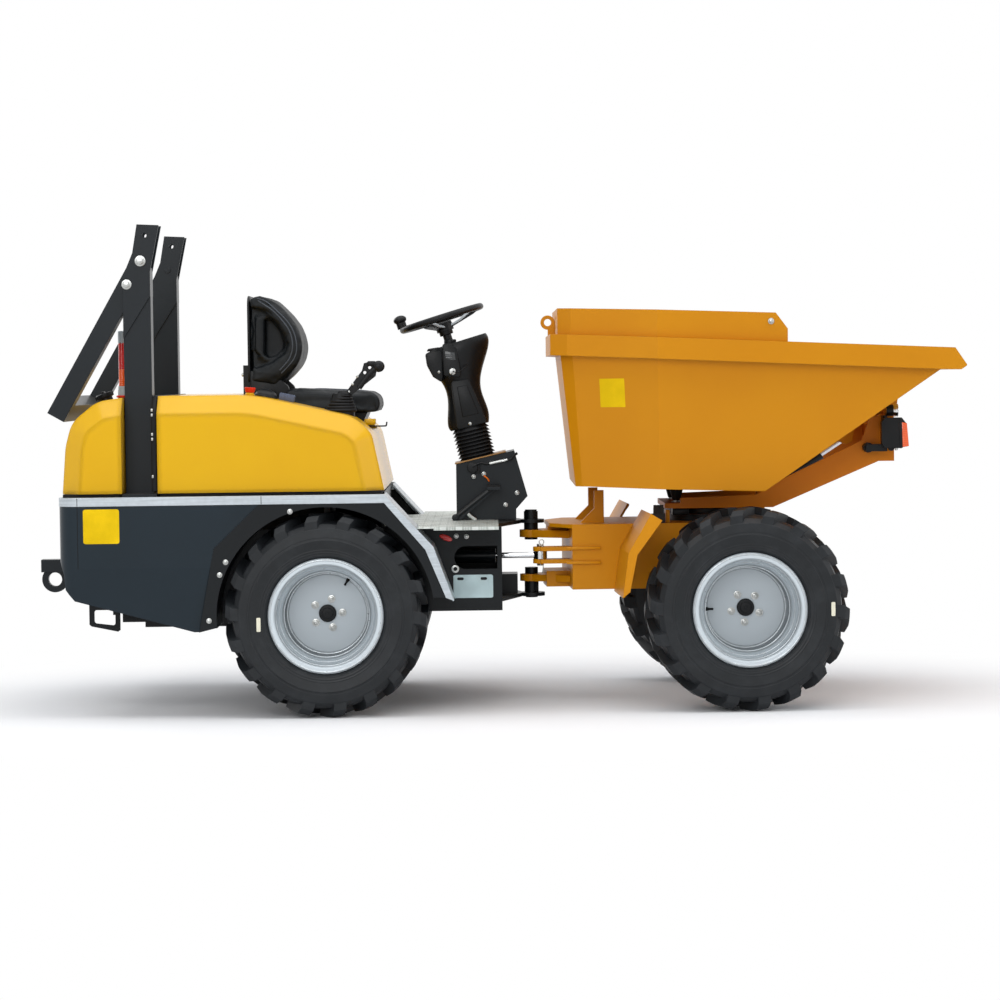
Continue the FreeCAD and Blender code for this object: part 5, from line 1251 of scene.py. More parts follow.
@dataclass
class RollBar(Assembly):
    """The roll bar's silver bolts and the beacon beside it."""

    hinge: tuple[float, float] = (-1456.0, 1709.0)
    stop: tuple[float, float] = (-1509.0, 1622.0)
    plate_face: float = 548.0

    def build(self, bench: Bench) -> None:
        """Build the pieces of the roll bar."""
        face = self.plate_face
        x, z = self.hinge
        nut = bench.bolts("hinge_nut", [(x, -face - 6.0, z)], 26.0)
        collar = bench.soften(bench.cylinder("collar", 20.6, 7.6, (x, -face - 3.9, z)), 1.0)
        stop = bench.bolts("stop_bolt", [(self.stop[0], -face, self.stop[1])], 24.0)
        silver = bench.both_sides(bench.join("roll_bar_bolts", [nut, collar, stop]))
        self.finish(bench, silver, ZINC_BOLT, "bright_trim")
        self._beacon(bench)

    def _beacon(self, bench: Bench) -> None:
        """Build the beacon of its foot, two coloured tubes and cap, in the place of its solid; the upper
        tube's red is painted shade on the amber dome.
        """
        x, y = -1548.0, -400.0
        foot = bench.soften(bench.cylinder("beacon_foot", 17.0, 38.0, (x, y, 1211.0), Axis.Z), 2.5, 3)
        nut = bench.soften(bench.cylinder("beacon_nut", 16.0, 12.0, (x, y, 1236.0), Axis.Z, 8), 1.2)
        cap = bench.soften(bench.cylinder("beacon_cap", 14.0, 46.0, (x, y, 1428.0), Axis.Z), 3.0, 3)
        grey = bench.join("beacon_ends", [foot, nut, cap])
        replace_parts(self.finish(bench, grey, SPOKE_SILVER, "lamp_orange"), "beacon")
        collar = bench.ring("beacon_collar", 19.0, 4.5, (x, y, 1203.0), Axis.Z)
        self.finish(bench, collar, KNOB_RED, "lamp_orange")
        pitch = 8.0
        # The upper tube's red is painted shade that stands for the shaded top of the amber dome
        for name, low, high, finish in (("beacon_amber", 1242.0, 1306.0, LENS_AMBER),
                                        ("beacon_painted_shade", 1306.0, 1406.0, LENS_RED)):
            rings = []
            for step in range(round((high - low) / pitch)):
                middle = (x, y, low + pitch * (step + 0.5))
                rings.append(bench.soften(bench.cylinder("segment", 13.4, 7.4, middle, Axis.Z), 1.4))
            core = bench.cylinder("core", 12.2, high - low, (x, y, (low + high) / 2), Axis.Z)
            lens = self.finish(bench, bench.join(name, [core, *rings]), finish, "lamp_orange")
            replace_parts(lens, "beacon")


# Seat


@dataclass
class Seat(Assembly):
    """The padded cushion and back with their piping, and the shell, hinges and slide's catch."""

    rear: float = -1082.0
    top: float = 1597.0
    half: float = 225.0
    back_side: tuple[tuple[float, float], ...] = (
        (0, 15), (18, 4), (43, 0), (72, 14), (97, 32), (151, 87), (181, 127), (203, 178), (210, 219),
        (204, 256), (188, 288), (166, 314), (132, 343), (97, 370), (4, 357))
    pocket_side: tuple[tuple[float, float], ...] = (
        (6, 52), (57, 68), (112, 117), (142, 172), (148, 205), (138, 243), (90, 277), (14, 300))
    window_side: tuple[tuple[float, float], ...] = (
        (62, 96), (92, 104), (124, 148), (137, 190), (134, 222), (104, 250), (74, 258), (58, 240))
    piping_side: tuple[tuple[float, float], ...] = (
        (34, 14), (66, 27), (101, 50), (152, 104), (180, 150), (190, 205), (184, 246), (166, 280),
        (128, 318))
    cushion_side: tuple[tuple[float, float], ...] = (
        (-948, 1130), (-600, 1130), (-582, 1136), (-573, 1152), (-573, 1176), (-584, 1194), (-606, 1202),
        (-948, 1220))
    cushion_half: float = 233.0

    def build(self, bench: Bench) -> None:
        """Build the pieces of the seat."""
        self._back(bench)
        self._cushion(bench)
        self._shell(bench)
        self._hinges(bench)
        self._slide(bench)

    def _place(self, reach: float, fall: float) -> tuple[float, float]:
        """Return a place on the back, given forward of its rear and below its top."""
        return self.rear + reach, self.top - fall

    def _pad(self, bench: Bench, item: bpy.types.Object, cap: float, floor: float) -> bpy.types.Object:
        """Swell a closed shape as padded cloth.

        Args:
            item: The slightly smaller start shape.
            cap: How far a point may move, in millimetres.
            floor: Points below this height stay where they are, in millimetres.

        Returns:
            The padded piece.
        """
        tool = item.modifiers.new("even mesh", "REMESH")
        tool.mode = "VOXEL"
        tool.voxel_size = metres(6.0)
        bench.apply(item, tool)
        smooth = item.modifiers.new("soft edges", "SMOOTH")
        smooth.iterations = 6
        bench.apply(item, smooth)
        start = [vertex.co.copy() for vertex in item.data.vertices]
        low = [vertex.index for vertex in item.data.vertices if vertex.co.z < metres(floor)]
        item.vertex_groups.new(name="held").add(low, 1.0, "ADD")
        cloth = item.modifiers.new("padding", "CLOTH")
        cloth.settings.vertex_group_mass = "held"
        cloth.settings.use_pressure = True
        cloth.settings.uniform_pressure_force = 4.0
        cloth.settings.tension_stiffness = 18.0
        cloth.settings.bending_stiffness = 0.6
        cloth.settings.effector_weights.gravity = 0.0
        for step in range(1, 21):
            bpy.context.scene.frame_set(step)
        bench.apply(item, cloth)
        bpy.context.scene.frame_set(1)
        for vertex, before in zip(item.data.vertices, start):
            moved = vertex.co - before
            if moved.length > metres(cap):
                vertex.co = before + moved.normalized() * metres(cap)
        item.vertex_groups.clear()
        finer = item.modifiers.new("finer", "SUBSURF")
        finer.levels = finer.render_levels = 1
        return bench.apply(item, finer)

    def _back(self, bench: Bench) -> None:
        """Make the back: a deep bolster all round, hollowed on both sides."""
        wide = self.half - 10.0
        outline = [self._place(*pair) for pair in self.back_side]
        shape = bench.plate("back", [(x, -wide, z) for x, z in outline], (0.0, 2 * wide, 0.0))
        centre = (self.rear + 95.0, 0.0, self.top - 190.0)
        shape.data.transform(Matrix.Translation(spot(*centre)) @ Matrix.Diagonal((0.94, 1.0, 0.965, 1.0))
                             @ Matrix.Translation(-spot(*centre)))
        for side_line, deep in ((self.pocket_side, 26.0), (self.window_side, 74.0)):
            outline = [self._place(*pair) for pair in side_line]
            for sign in (-1.0, 1.0):
                corners = [(x, sign * (wide - deep), z) for x, z in outline]
                pocket = bench.plate("pocket", corners, (0.0, sign * 140.0, 0.0))
                bench.carve(shape, bench.soften(pocket, 10.0, 3, 60.0))
        shape = bench.soften(shape, 14.0, 3, 60.0)
        back = self._pad(bench, shape, 9.0, 0.0)
        back.name = "seat_back_pad"
        self.finish(bench, back, SEAT_VINYL, "seat_vinyl", angle=80.0)
        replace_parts(back, "seat_back")
        self._back_piping(bench, Surface(back))

    def _back_piping(self, bench: Bench, back: Surface) -> None:
        """Lay two rows of piping on each side of the back, the second row 18 mm inside the first."""
        line = [self._place(*pair) for pair in self.piping_side]
        middle_x, middle_z = self._place(60.0, 200.0)
        welts = []
        for inset in (12.0, 30.0):
            for sign in (-1.0, 1.0):
                row = []
                for x, z in line:
                    length = math.hypot(x - middle_x, z - middle_z)
                    scale = (length + 12.0 - inset) / length
                    place = REAR.at(middle_x + (x - middle_x) * scale, sign * (self.half + 4.0),
                                    middle_z + (z - middle_z) * scale)
                    on_back = back.nearest(millimetres(place))
                    row.append((on_back[0] - PIVOT_X, on_back[1] - PIVOT_Y + sign * 0.6, on_back[2]))
                welts.append(bench.tube("welt", row, 2.4))
        self.finish(bench, bench.join("seat_back_piping", welts), PIPING_GREY, "seat_vinyl", angle=60.0)

    def _cushion(self, bench: Bench) -> None:
        """Make the cushion, rounded at its front, with a piped seam along each side."""
        wide = self.cushion_half - 7.0
        outline = [(x, -wide, z) for x, z in self.cushion_side]
        shape = bench.plate("cushion", outline, (0.0, 2 * wide, 0.0))
        shape = bench.soften(shape, 16.0, 3, 50.0)
        cushion = self._pad(bench, shape, 8.0, 1134.0)
        cushion.name = "seat_cushion_pad"
        self.finish(bench, cushion, SEAT_VINYL, "seat_vinyl", angle=80.0)
        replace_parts(cushion, "seat_cushion")
        carrier = Surface(cushion)
        welts = []
        for y in (-150.0, 150.0):
            points = [carrier.nearest(millimetres(REAR.at(x, y, z)))
                      for x, z in ((-935, 1240), (-850, 1235), (-760, 1230), (-670, 1225), (-610, 1212),
                                   (-575, 1190), (-560, 1160))]
            row = [(x - PIVOT_X, across - PIVOT_Y, z + 0.4) for x, across, z in points]
            welts.append(bench.tube("welt", row, 2.2))
        self.finish(bench, bench.join("seat_cushion_piping", welts), PIPING_GREY, "seat_vinyl", angle=60.0)

    def _shell(self, bench: Bench) -> None:
        """Make the moulded shell that stands behind the back."""
        outline = rounded_box((-200.0, 1238.0), (200.0, 1584.0), 46.0)
        rear = self.rear
        shell = bench.plate("seat_shell", [(rear - 5.0, y, z) for y, z in outline], (9.0, 0.0, 0.0))
        ribs = [bench.block("rib", (rear - 8.0, y - 4.0, 1270.0), (rear - 3.0, y + 4.0, 1550.0), 1.5)
                for y in (-120.0, -40.0, 40.0, 120.0)]
        shell = bench.join("seat_shell", [bench.soften(shell, 3.0, 3), *ribs])
        self.finish(bench, shell, BLACK_PLASTIC, "black_plastic")
        places = [(rear - 24.0, y, z) for y in (-130.0, 130.0) for z in (1130.0, 1280.0)]
        bolts = bench.bolts("bracket_bolts", places, 13.0, Axis.X, -1)
        self.finish(bench, bolts, ZINC_BOLT, "bright_trim")

    def _hinges(self, bench: Bench) -> None:
        """Join the back to the base with a covered hinge on each side."""
        outline = [(-1079.0, 1296.0), (-1079.0, 1160.0), (-1040.0, 1138.0), (-948.0, 1138.0),
                   (-926.0, 1196.0), (-930.0, 1232.0), (-962.0, 1262.0), (-1010.0, 1286.0)]
        cover = bench.side_plate("seat_hinges", outline, -205.0, -176.0, 7.0)
        pivot = bench.soften(bench.cylinder("pivot", 17.0, 8.0, (-1000.0, -207.0, 1190.0)), 2.5, 3)
        hinges = bench.both_sides(bench.join("seat_hinges", [cover, pivot]))
        self.finish(bench, hinges, BLACK_PLASTIC, "black_plastic")

    def _slide(self, bench: Bench) -> None:
        """Make the wire that frees the seat slide and the painted catch above it."""
        wire = bench.tube("slide_wire", [(-660.0, -200.0, 1080.0), (-623.0, -228.0, 1076.0),
                                         (-590.0, -232.0, 1076.0), (-560.0, -232.0, 1076.0),
                                         (-554.0, -232.0, 1077.0), (-553.0, -232.0, 1092.0)], 3.0)
        self.finish(bench, wire, BLACK_PLASTIC, "black_plastic", angle=60.0)
        catch = bench.block("slide_catch", (-640.0, -233.0, 1082.0), (-596.0, -180.0, 1104.0), 3.0)
        self.finish(bench, catch, HOOD_YELLOW, "hood_yellow")


# Controls


@dataclass
class Controls(Assembly):
    """The travel lever's grip and gaiter rings, the pedals' rubbers and the console's fittings."""

    lever_y: float = -330.0
    console_face: float = -120.0

    def build(self, bench: Bench) -> None:
        """Build the pieces of the controls."""
        self._lever(bench)
        self._console(bench)
        self._pedals(bench)

    def _lever(self, bench: Bench) -> None:
        """Round the lever's grip, run rings round its gaiter and set its three pins."""
        y = self.lever_y
        grip = bench.tube("lever_grip", [(-655.0, y, 1224.0), (-634.0, y, 1252.0), (-612.0, y, 1280.0),
                                         (-590.0, y, 1298.0), (-572.0, y, 1312.0)], 12.0)
        head = bench.ball("lever_head", 10.0, (-578.0, y, 1305.0), (2.3, 1.7, 2.2))
        toe = bench.block("lever_toe", (-622.0, y - 9.0, 1306.0), (-588.0, y + 9.0, 1326.0), 6.0)
        heel = bench.block("lever_heel", (-612.0, y - 7.0, 1262.0), (-596.0, y + 7.0, 1282.0), 4.0)
        grip = bench.join("lever_grip", [grip, head, toe, heel])
        self.finish(bench, grip, GRIP_PLASTIC, "black_plastic", angle=60.0)
        rings = [bench.ring("gaiter_ring", 56.0 - 5.4 * step, 6.4 - 0.35 * step,
                            (-725.0 + 2.0 * step, y, 1140.0 + 11.0 * step), Axis.Z) for step in range(6)]
        throat = bench.soften(bench.cone("gaiter_throat", 30.0, 19.0, 14.0, (-712.0, y, 1207.0)), 2.0)
        gaiter = bench.join("lever_gaiter", [*rings, throat])
        self.finish(bench, gaiter, BELLOWS_RUBBER, "black_plastic", angle=60.0)
        pins = bench.bolts("lever_pins", [(-660.0, y - 6.5, 1268.0), (-678.0, y - 6.5, 1239.0),
                                          (-693.0, y - 6.5, 1209.0)], 7.0)
        self.finish(bench, pins, ZINC_BOLT, "bright_trim")

    def _console(self, bench: Bench) -> None:
        """Fit the console: top plate, bolts, cross shaft with its handle, stay and an end of wire."""
        face = self.console_face
        top = [(-294.0, 921.0), (-95.0, 966.6), (-96.0, 971.2), (-295.0, 925.6)]
        plate = bench.side_plate("console_top_plate", top, face - 5.0, -face + 5.0, 0.8)
        self.finish(bench, plate, EDGE_BRONZE, "frame_black")
        places = [(-213.0, face, 905.0), (-182.0, face, 883.0), (-222.0, face, 873.0),
                  (-54.0, face, 808.0), (-99.0, face, 762.0)]
        bolts = bench.both_sides(bench.bolts("console_bolts", places, 11.0))
        self.finish(bench, bolts, ZINC_BOLT, "bright_trim")
        boss = bench.cylinder("shaft_boss", 21.0, 16.0, (-226.0, face - 8.0, 908.0))
        boss = bench.soften(boss, 3.0, 3)
        outline = [(-226.0, 886.0), (-196.0, 886.0), (-196.0, 924.0), (-226.0, 930.0)]
        web = bench.side_plate("boss_web", outline, face - 9.0, face + 1.0, 2.0)
        crank = bench.tube("crank", [(-226.0, face - 14.0, 912.0), (-196.0, face - 14.0, 930.0),
                                     (-176.0, face - 14.0, 921.0), (-158.0, face - 14.0, 924.0)], 4.6)
        end = bench.tube("crank_end", [(-96.0, face - 14.0, 934.0), (-78.0, face - 14.0, 938.0),
                                       (-66.0, face - 12.0, 954.0), (-52.0, face - 6.0, 962.0)], 5.4)
        crank = bench.join("console_crank", [boss, web, crank, end])
        self.finish(bench, crank, BLACK_PLASTIC, "black_plastic")
        rod = bench.tube("handle_rod", [(-160.0, face - 14.0, 923.0), (-128.0, face - 14.0, 930.0),
                                        (-90.0, face - 14.0, 937.0)], 5.8, smooth=False)
        stay = bench.tube("pedal_stay", [(-252.0, face - 32.0, 737.0), (-236.0, face - 30.0, 720.0),
                                         (-216.0, face - 26.0, 706.0)], 9.0, smooth=False)
        self.finish(bench, bench.join("console_rods", [rod, stay]), ZINC_BOLT, "bright_trim")
        wire = bench.tube("wire_end", [(-186.0, face - 1.0, 884.0), (-180.0, face - 7.0, 874.0),
                                       (-168.0, face - 8.0, 866.0), (-162.0, face - 3.0, 854.0)], 3.0)
        self.finish(bench, wire, FITTING_ORANGE, "lamp_orange", angle=60.0)

    def _pedals(self, bench: Bench) -> None:
        """Lay a ribbed rubber on the pedal and make its arm a round bar."""
        y = self.console_face - 40.0
        bar = bench.tube("pedal_bar", [(-300.0, y, 712.0), (-226.0, y, 770.0), (-150.0, y, 829.0)], 10.5,
                         smooth=False)
        foot = bench.soften(bench.cylinder("pedal_foot", 14.0, 30.0, (-294.0, y, 716.0)), 3.0)
        self.finish(bench, bench.join("pedal_bar", [bar, foot]), GUARD_BLACK, "frame_black")
        pad = bench.block("pad", (-171.0, y - 43.0, 834.5), (-119.0, y + 33.0, 839.5), 1.5)
        ribs = [bench.block("rib", (x, y - 41.0, 838.0), (x + 4.0, y + 31.0, 842.0), 0.8)
                for x in range(-169, -123, 9)]
        self.finish(bench, bench.join("pedal_rubber", [pad, *ribs]), SEAL_RUBBER, "seal_rubber")


@dataclass
class Column(Assembly):
    """The fittings of the steering column and of its wheel."""

    side: float = -62.0
    hub: tuple[float, float] = (-340.0, 1491.0)
    tilt: float = 16.8

    def build(self, bench: Bench) -> None:
        """Build the pieces of the column."""
        self._cover(bench)
        self._switches(bench)
        self._wheel(bench)

    def _cover(self, bench: Bench) -> None:
        """Screw the flat access panel with its inset to the cover."""
        side = self.side
        outline = [(-306.0, 1236.0), (-300.0, 1246.0), (-240.0, 1252.0), (-232.0, 1244.0),
                   (-170.0, 1092.0), (-174.0, 1082.0), (-276.0, 1056.0), (-286.0, 1064.0)]
        panel = bench.side_plate("column_panel", outline, side - 5.0, side + 26.0, 3.0)
        outline = [(-282.0, 1222.0), (-244.0, 1228.0), (-200.0, 1118.0), (-262.0, 1104.0)]
        inset = bench.side_plate("panel_inset", outline, side - 7.0, side, 2.0)
        self.finish(bench, bench.join("column_panel", [panel, inset]), BLACK_PLASTIC, "black_plastic")
        bolts = bench.bolts("column_bolts", [(-233.0, side - 5.0, 1078.0)], 8.0)
        self.finish(bench, bolts, ZINC_BOLT, "bright_trim")

    def _switches(self, bench: Bench) -> None:
        """Build the switch housings, the display and the key switch with its wires."""
        side = self.side
        outline = [(-406.0, 1352.0), (-399.0, 1306.0), (-376.0, 1262.0), (-342.0, 1240.0),
                   (-336.0, 1262.0), (-336.0, 1362.0), (-372.0, 1368.0)]
        box = bench.side_plate("switch_box", outline, side - 14.0, -side + 14.0, 8.0)
        outline = [(-400.0, 1362.0), (-394.0, 1372.0), (-352.0, 1378.0), (-346.0, 1366.0)]
        rim = bench.side_plate("switch_rim", outline, side + 2.0, -side - 2.0, 3.0)
        outline = [(-338.0, 1388.0), (-334.0, 1268.0), (-272.0, 1258.0), (-266.0, 1276.0),
                   (-280.0, 1372.0), (-312.0, 1394.0)]
        tower = bench.side_plate("switch_tower", outline, side - 24.0, side + 30.0, 5.0)
        neck = bench.cylinder("tower_neck", 24.0, 26.0, (-308.0, 0.0, 1396.0), Axis.Z)
        housing = bench.join("switch_housing", [box, rim, tower, bench.soften(neck, 4.0, 3)])
        self.finish(bench, housing, BLACK_PLASTIC, "black_plastic")
        outline = [(-328.0, 1362.0), (-326.0, 1332.0), (-286.0, 1326.0), (-290.0, 1356.0)]
        pane = bench.side_plate("display_pane", outline, side - 25.4, side - 20.0, 1.2)
        self.finish(bench, pane, LENS_SMOKE, "black_plastic")
        collar = bench.cylinder("key_collar", 13.0, 7.0, (-299.0, side - 26.0, 1282.0))
        collar = bench.soften(collar, 1.6, 3)
        key = bench.block("key_tab", (-301.0, side - 38.0, 1274.0), (-297.0, side - 28.0, 1290.0), 0.8)
        screws = bench.bolts("switch_screws", [(-352.0, side - 14.0, 1281.0)], 7.0)
        self.finish(bench, bench.join("key_switch", [collar, key, screws]), ZINC_BOLT, "bright_trim")
        wires = [bench.tube("wire", [(-299.0, side - 30.0, 1280.0), (-306.0, side - 34.0, 1262.0),
                                     (-318.0, side - 30.0, 1256.0), (-312.0, side - 20.0, 1240.0)], 2.0),
                 bench.tube("wire", [(-299.0, side - 30.0, 1284.0), (-284.0, side - 34.0, 1276.0),
                                     (-262.0, side - 30.0, 1288.0), (-242.0, side - 12.0, 1306.0)], 2.0)]
        self.finish(bench, bench.join("switch_wires", wires), GRIP_PLASTIC, "black_plastic", angle=60.0)

    def _wheel(self, bench: Bench) -> None:
        """Give the steering wheel silver spokes, a hub pad and a round knob."""
        outline = [(26.0, -40.0), (70.0, -30.0), (118.0, -9.0), (148.0, -3.0), (148.0, 3.0),
                   (112.0, -1.0), (64.0, -22.0), (26.0, -32.0)]
        gap = [(52.0, -60.0), (104.0, -60.0), (104.0, 20.0), (52.0, 20.0)]
        spokes = []
        for turn in (0.0, 120.0, 240.0):
            plate = bench.side_plate("spoke", outline, -19.0, 19.0, 1.5)
            slot = bench.side_plate("spoke_slot", gap, -8.0, 8.0, 0.0)
            spokes.append(bench.lean(bench.carve(plate, slot), turn, Axis.Z))
        self._on_wheel(bench, bench.join("wheel_spokes", spokes), SPOKE_SILVER, "bright_trim")
        pad = bench.soften(bench.cylinder("hub_pad", 33.0, 12.0, (0.0, 0.0, -22.0), Axis.Z, 40), 4.0, 3)
        barrel = bench.cylinder("hub_barrel", 27.0, 44.0, (0.0, 0.0, -46.0), Axis.Z, 40)
        hub = bench.join("wheel_hub_pad", [pad, bench.soften(barrel, 3.0, 3)])
        self._on_wheel(bench, hub, GRIP_PLASTIC, "black_plastic")
        knob = bench.ball("wheel_knob", 10.0, (-158.0, 0.0, 43.0), (2.6, 2.6, 1.7))
        self._on_wheel(bench, knob, GRIP_PLASTIC, "black_plastic")

    def _on_wheel(self, bench: Bench, item: bpy.types.Object, finish: Finish, slot: str) -> None:
        """Tilt a piece that was modelled on a level steering wheel and hand it over."""
        bench.lean(item, -self.tilt, Axis.Y)
        item.data.transform(Matrix.Translation(spot(self.hub[0], 0.0, self.hub[1])))
        self.finish(bench, item, finish, slot, "steering_wheel")


# Front unit


@dataclass
class FrontUnit(Assembly):
    """The fittings of the front chassis: welded bars, clevis pin, couplings, tab and ring bolts."""

    body: str = "front_unit"
    station: Station = FRONT
    chassis_half: float = 300.0

    def build(self, bench: Bench) -> None:
        """Build the pieces of the front chassis."""
        face = -self.chassis_half
        bars = [bench.block("bar", (118.0, face - 11.0, low), (249.0, face + 1.0, low + 11.0), 1.2)
                for low in (538.0, 594.0)]
        self.finish(bench, bench.join("welded_bars", bars), SKIP_ORANGE, "skip_orange")
        self._clevis_pins(bench)
        self._couplings(bench)
        self._ring_bolts(bench)

    def _clevis_pins(self, bench: Bench) -> None:
        """Set the head and nut of the steering clevis' pin and hang a ring and wire beside it."""
        x, y = 24.0, -190.0
        pin = bench.soften(bench.cylinder("clevis_pin", 13.0, 10.0, (x, y, 606.5), Axis.Z), 2.0)
        nut = bench.soften(bench.cylinder("clevis_nut", 15.0, 9.0, (x, y, 532.5), Axis.Z, 6), 1.2)
        ring = bench.ring("pin_ring", 9.0, 1.8, (x + 4.0, y - 20.0, 620.0))
        wire = bench.tube("pin_wire", [(x + 4.0, y - 20.0, 611.0), (x + 9.0, y - 34.0, 600.0),
                                       (x + 6.0, y - 40.0, 560.0), (x + 10.0, y - 34.0, 520.0),
                                       (x + 6.0, y - 20.0, 500.0)], 1.6)
        pins = bench.join("clevis_pins", [pin, nut, ring, wire])
        self.finish(bench, pins, ZINC_BOLT, "rod_chrome", angle=60.0)

    def _couplings(self, bench: Bench) -> None:
        """Build the hydraulic couplings and the painted tab on the chassis behind the turntable."""
        y = -289.0
        base = bench.block("valve", (452.0, y - 9.0, 690.0), (500.0, y + 9.0, 728.0), 3.0)
        row = (462.0, 475.0, 488.0)
        ports = [bench.soften(bench.cylinder("port", 8.0, 24.0, (x, y, 738.0), Axis.Z, 6), 1.0)
                 for x in row]
        caps = [bench.soften(bench.cylinder("cap", 6.5, 12.0, (x, y, 754.0), Axis.Z), 1.5) for x in row]
        side = [bench.soften(bench.cylinder("side_port", 8.0, 14.0, (446.0, y, z), Axis.X, 6), 1.0)
                for z in (704.0, 720.0)]
        couplings = bench.join("couplings", [base, *ports, *caps, *side])
        self.finish(bench, couplings, ENGINE_IRON, "engine_iron")
        tab = bench.block("tab", (506.0, -264.0, 690.0), (521.0, -214.0, 739.0), 1.5)
        self.finish(bench, tab, SKIP_ORANGE, "skip_orange")

    def _ring_bolts(self, bench: Bench) -> None:
        """Set a ring of bolts round the lower half of the slewing ring."""
        turns = [math.radians(angle) for angle in range(15, 360, 30)]
        places = [(SLEW_X + 154.0 * math.cos(turn), 154.0 * math.sin(turn), 690.0) for turn in turns]
        bolts = bench.bolts("ring_bolts", places, 12.0, Axis.Z, 1)
        self.finish(bench, bolts, ZINC_BOLT, "bright_trim")


@dataclass
class Turntable(Assembly):
    """The fittings of the frame that swings: ring cover, buffers, lamps and indicators."""

    body: str = "turntable"
    station: Station = SWUNG
    ring_high: float = 744.0
    lamp_y: float = 310.0
    lamp_z: float = 1112.0
    indicator_y: float = 340.0

    def build(self, bench: Bench) -> None:
        """Build the pieces of the turntable frame."""
        self._ring_cover(bench)
        self._buffers(bench)
        self._headlamps(bench)
        self._indicators(bench)

    def _ring_cover(self, bench: Bench) -> None:
        """Wrap the turning ring in its black cover and hang the stop block beside it."""
        high = self.ring_high
        cover = bench.cylinder("ring_cover", 170.0, 26.0, (SLEW_X, 0.0, high - 14.0), Axis.Z, 72)
        inside = bench.cylinder("ring_inside", 166.4, 40.0, (SLEW_X, 0.0, high - 14.0), Axis.Z, 72)
        cover = bench.soften(bench.carve(cover, inside), 1.0)
        motor = bench.block("motor", (548.0, -196.0, high - 30.0), (612.0, -120.0, high - 1.0), 4.0)
        self.finish(bench, bench.join("ring_cover", [cover, motor]), GUARD_BLACK, "frame_black")
        stop = bench.block("stop_block", (846.0, -256.0, high - 25.0), (900.0, -236.0, high + 1.0), 1.5)
        self.finish(bench, bench.both_sides(stop), SKIP_ORANGE, "skip_orange")

    def _buffers(self, bench: Bench) -> None:
        """Stand the rubber buffers that the skip rests on."""
        low, high = self.ring_high + 20.0, self.ring_high + 83.0
        middle = (low + high) / 2 + 3.0
        for side, sign in SIDES:
            x, y = 566.0, sign * 150.0
            cone = bench.soften(bench.cone("cone", 15.0, 29.0, high - low - 8.0, (x, y, middle)), 3.0, 3)
            lip = bench.soften(bench.cylinder("lip", 31.0, 6.0, (x, y, high - 3.5), Axis.Z), 1.5)
            buffer = bench.join(f"skip_buffer_{side}", [cone, lip])
            self.finish(bench, buffer, SEAL_RUBBER, "seal_rubber")
            nut = bench.bolts(f"buffer_nut_{side}", [(x, y, low)], 24.0, Axis.Z, 1)
            self.finish(bench, nut, ZINC_BOLT, "bright_trim")

    def _headlamps(self, bench: Bench) -> None:
        """Give the headlamps their bright bowls, rings and ribbed glasses."""
        y, z = -self.lamp_y, self.lamp_z
        bowl = bench.soften(bench.cone("bowl", 15.0, 24.0, 36.0, (1381.0, y, z), Axis.X, 48), 2.0)
        sleeve = bench.soften(bench.cylinder("sleeve", 24.4, 12.0, (1402.0, y, z), Axis.X, 48), 1.5)
        ring = bench.ring("lamp_ring", 22.8, 2.4, (1407.5, y, z), Axis.X)
        bowls = bench.both_sides(bench.join("lamp_bowls", [bowl, sleeve, ring]))
        self.finish(bench, bowls, LAMP_MIRROR, "lamp_orange", angle=50.0)
        glass = bench.ball("lamp_glass", 10.0, (1406.0, y, z), (0.75, 2.15, 2.15))
        self.finish(bench, bench.both_sides(glass), LENS_CLEAR, "lamp_orange", angle=60.0)

    def _indicators(self, bench: Bench) -> None:
        """Set the amber lenses on the indicators, with their gaskets, and the bolts of their arms."""
        rear, low, y = 1341.0, self.ring_high + 173.0, -self.indicator_y
        outline = [(rear + 79.0, low + 54.0), (rear + 104.0, low + 58.0), (rear + 97.0, low + 147.0),
                   (rear + 76.0, low + 151.0)]
        lens = bench.side_plate("indicator_lenses", outline, y - 21.5, y + 21.5, 3.0)
        self.finish(bench, bench.both_sides(lens), LENS_AMBER, "lamp_orange")
        outline = [(rear + 69.0, low + 50.0), (rear + 79.0, low + 51.0), (rear + 77.0, low + 162.0),
                   (rear + 66.0, low + 166.0)]
        gasket = bench.side_plate("gasket", outline, y - 22.5, y + 22.5, 2.0)
        knuckle = bench.cylinder("knuckle", 12.0, 26.0, (rear + 40.0, y + 18.0, low + 52.0))
        gaskets = bench.join("indicator_gaskets", [gasket, bench.soften(knuckle, 2.5, 3)])
        self.finish(bench, bench.both_sides(gaskets), BLACK_PLASTIC, "black_plastic")
        arm = bench.bolts("arm_bolt", [(rear - 45.0, y + 30.0, low + 53.0)], 15.0)
        foot = bench.bolts("foot_bolt", [(rear + 58.0, y, low + 52.0)], 12.0, Axis.Z, -1)
        bolts = bench.both_sides(bench.join("indicator_bolts", [arm, foot]))
        self.finish(bench, bolts, ZINC_BOLT, "bright_trim")


@dataclass
class Skip(Assembly):
    """The skip's blank label, the bend under its rear edge and the boards' bolts."""

    body: str = "skip"
    station: Station = SWUNG

    def build(self, bench: Bench) -> None:
        """Build the pieces of the skip."""
        label = self.blank_label(bench, "skip_label_right", "skip_shell", (306.0, 1194.0), (100.0, 108.0),
                                 -1, 3.0)
        self.finish(bench, label, STICKER_YELLOW, "hood_yellow")
        outline = [(205.0, 840.0), (205.0, 894.0), (177.0, 897.0), (166.0, 889.0), (169.0, 864.0),
                   (182.0, 846.0)]
        bend = bench.side_plate("skip_bend", outline, -392.0, 392.0, 5.0)
        self.finish(bench, bend, SKIP_ORANGE, "skip_orange")
        places = ((900.0, 1455.0),)
        for side, sign in SIDES:
            bolts = self.bolted(bench, f"board_bolts_{side}", "skip_board", places, 15.0, sign)
            self.finish(bench, bolts, ZINC_BOLT, "bright_trim")


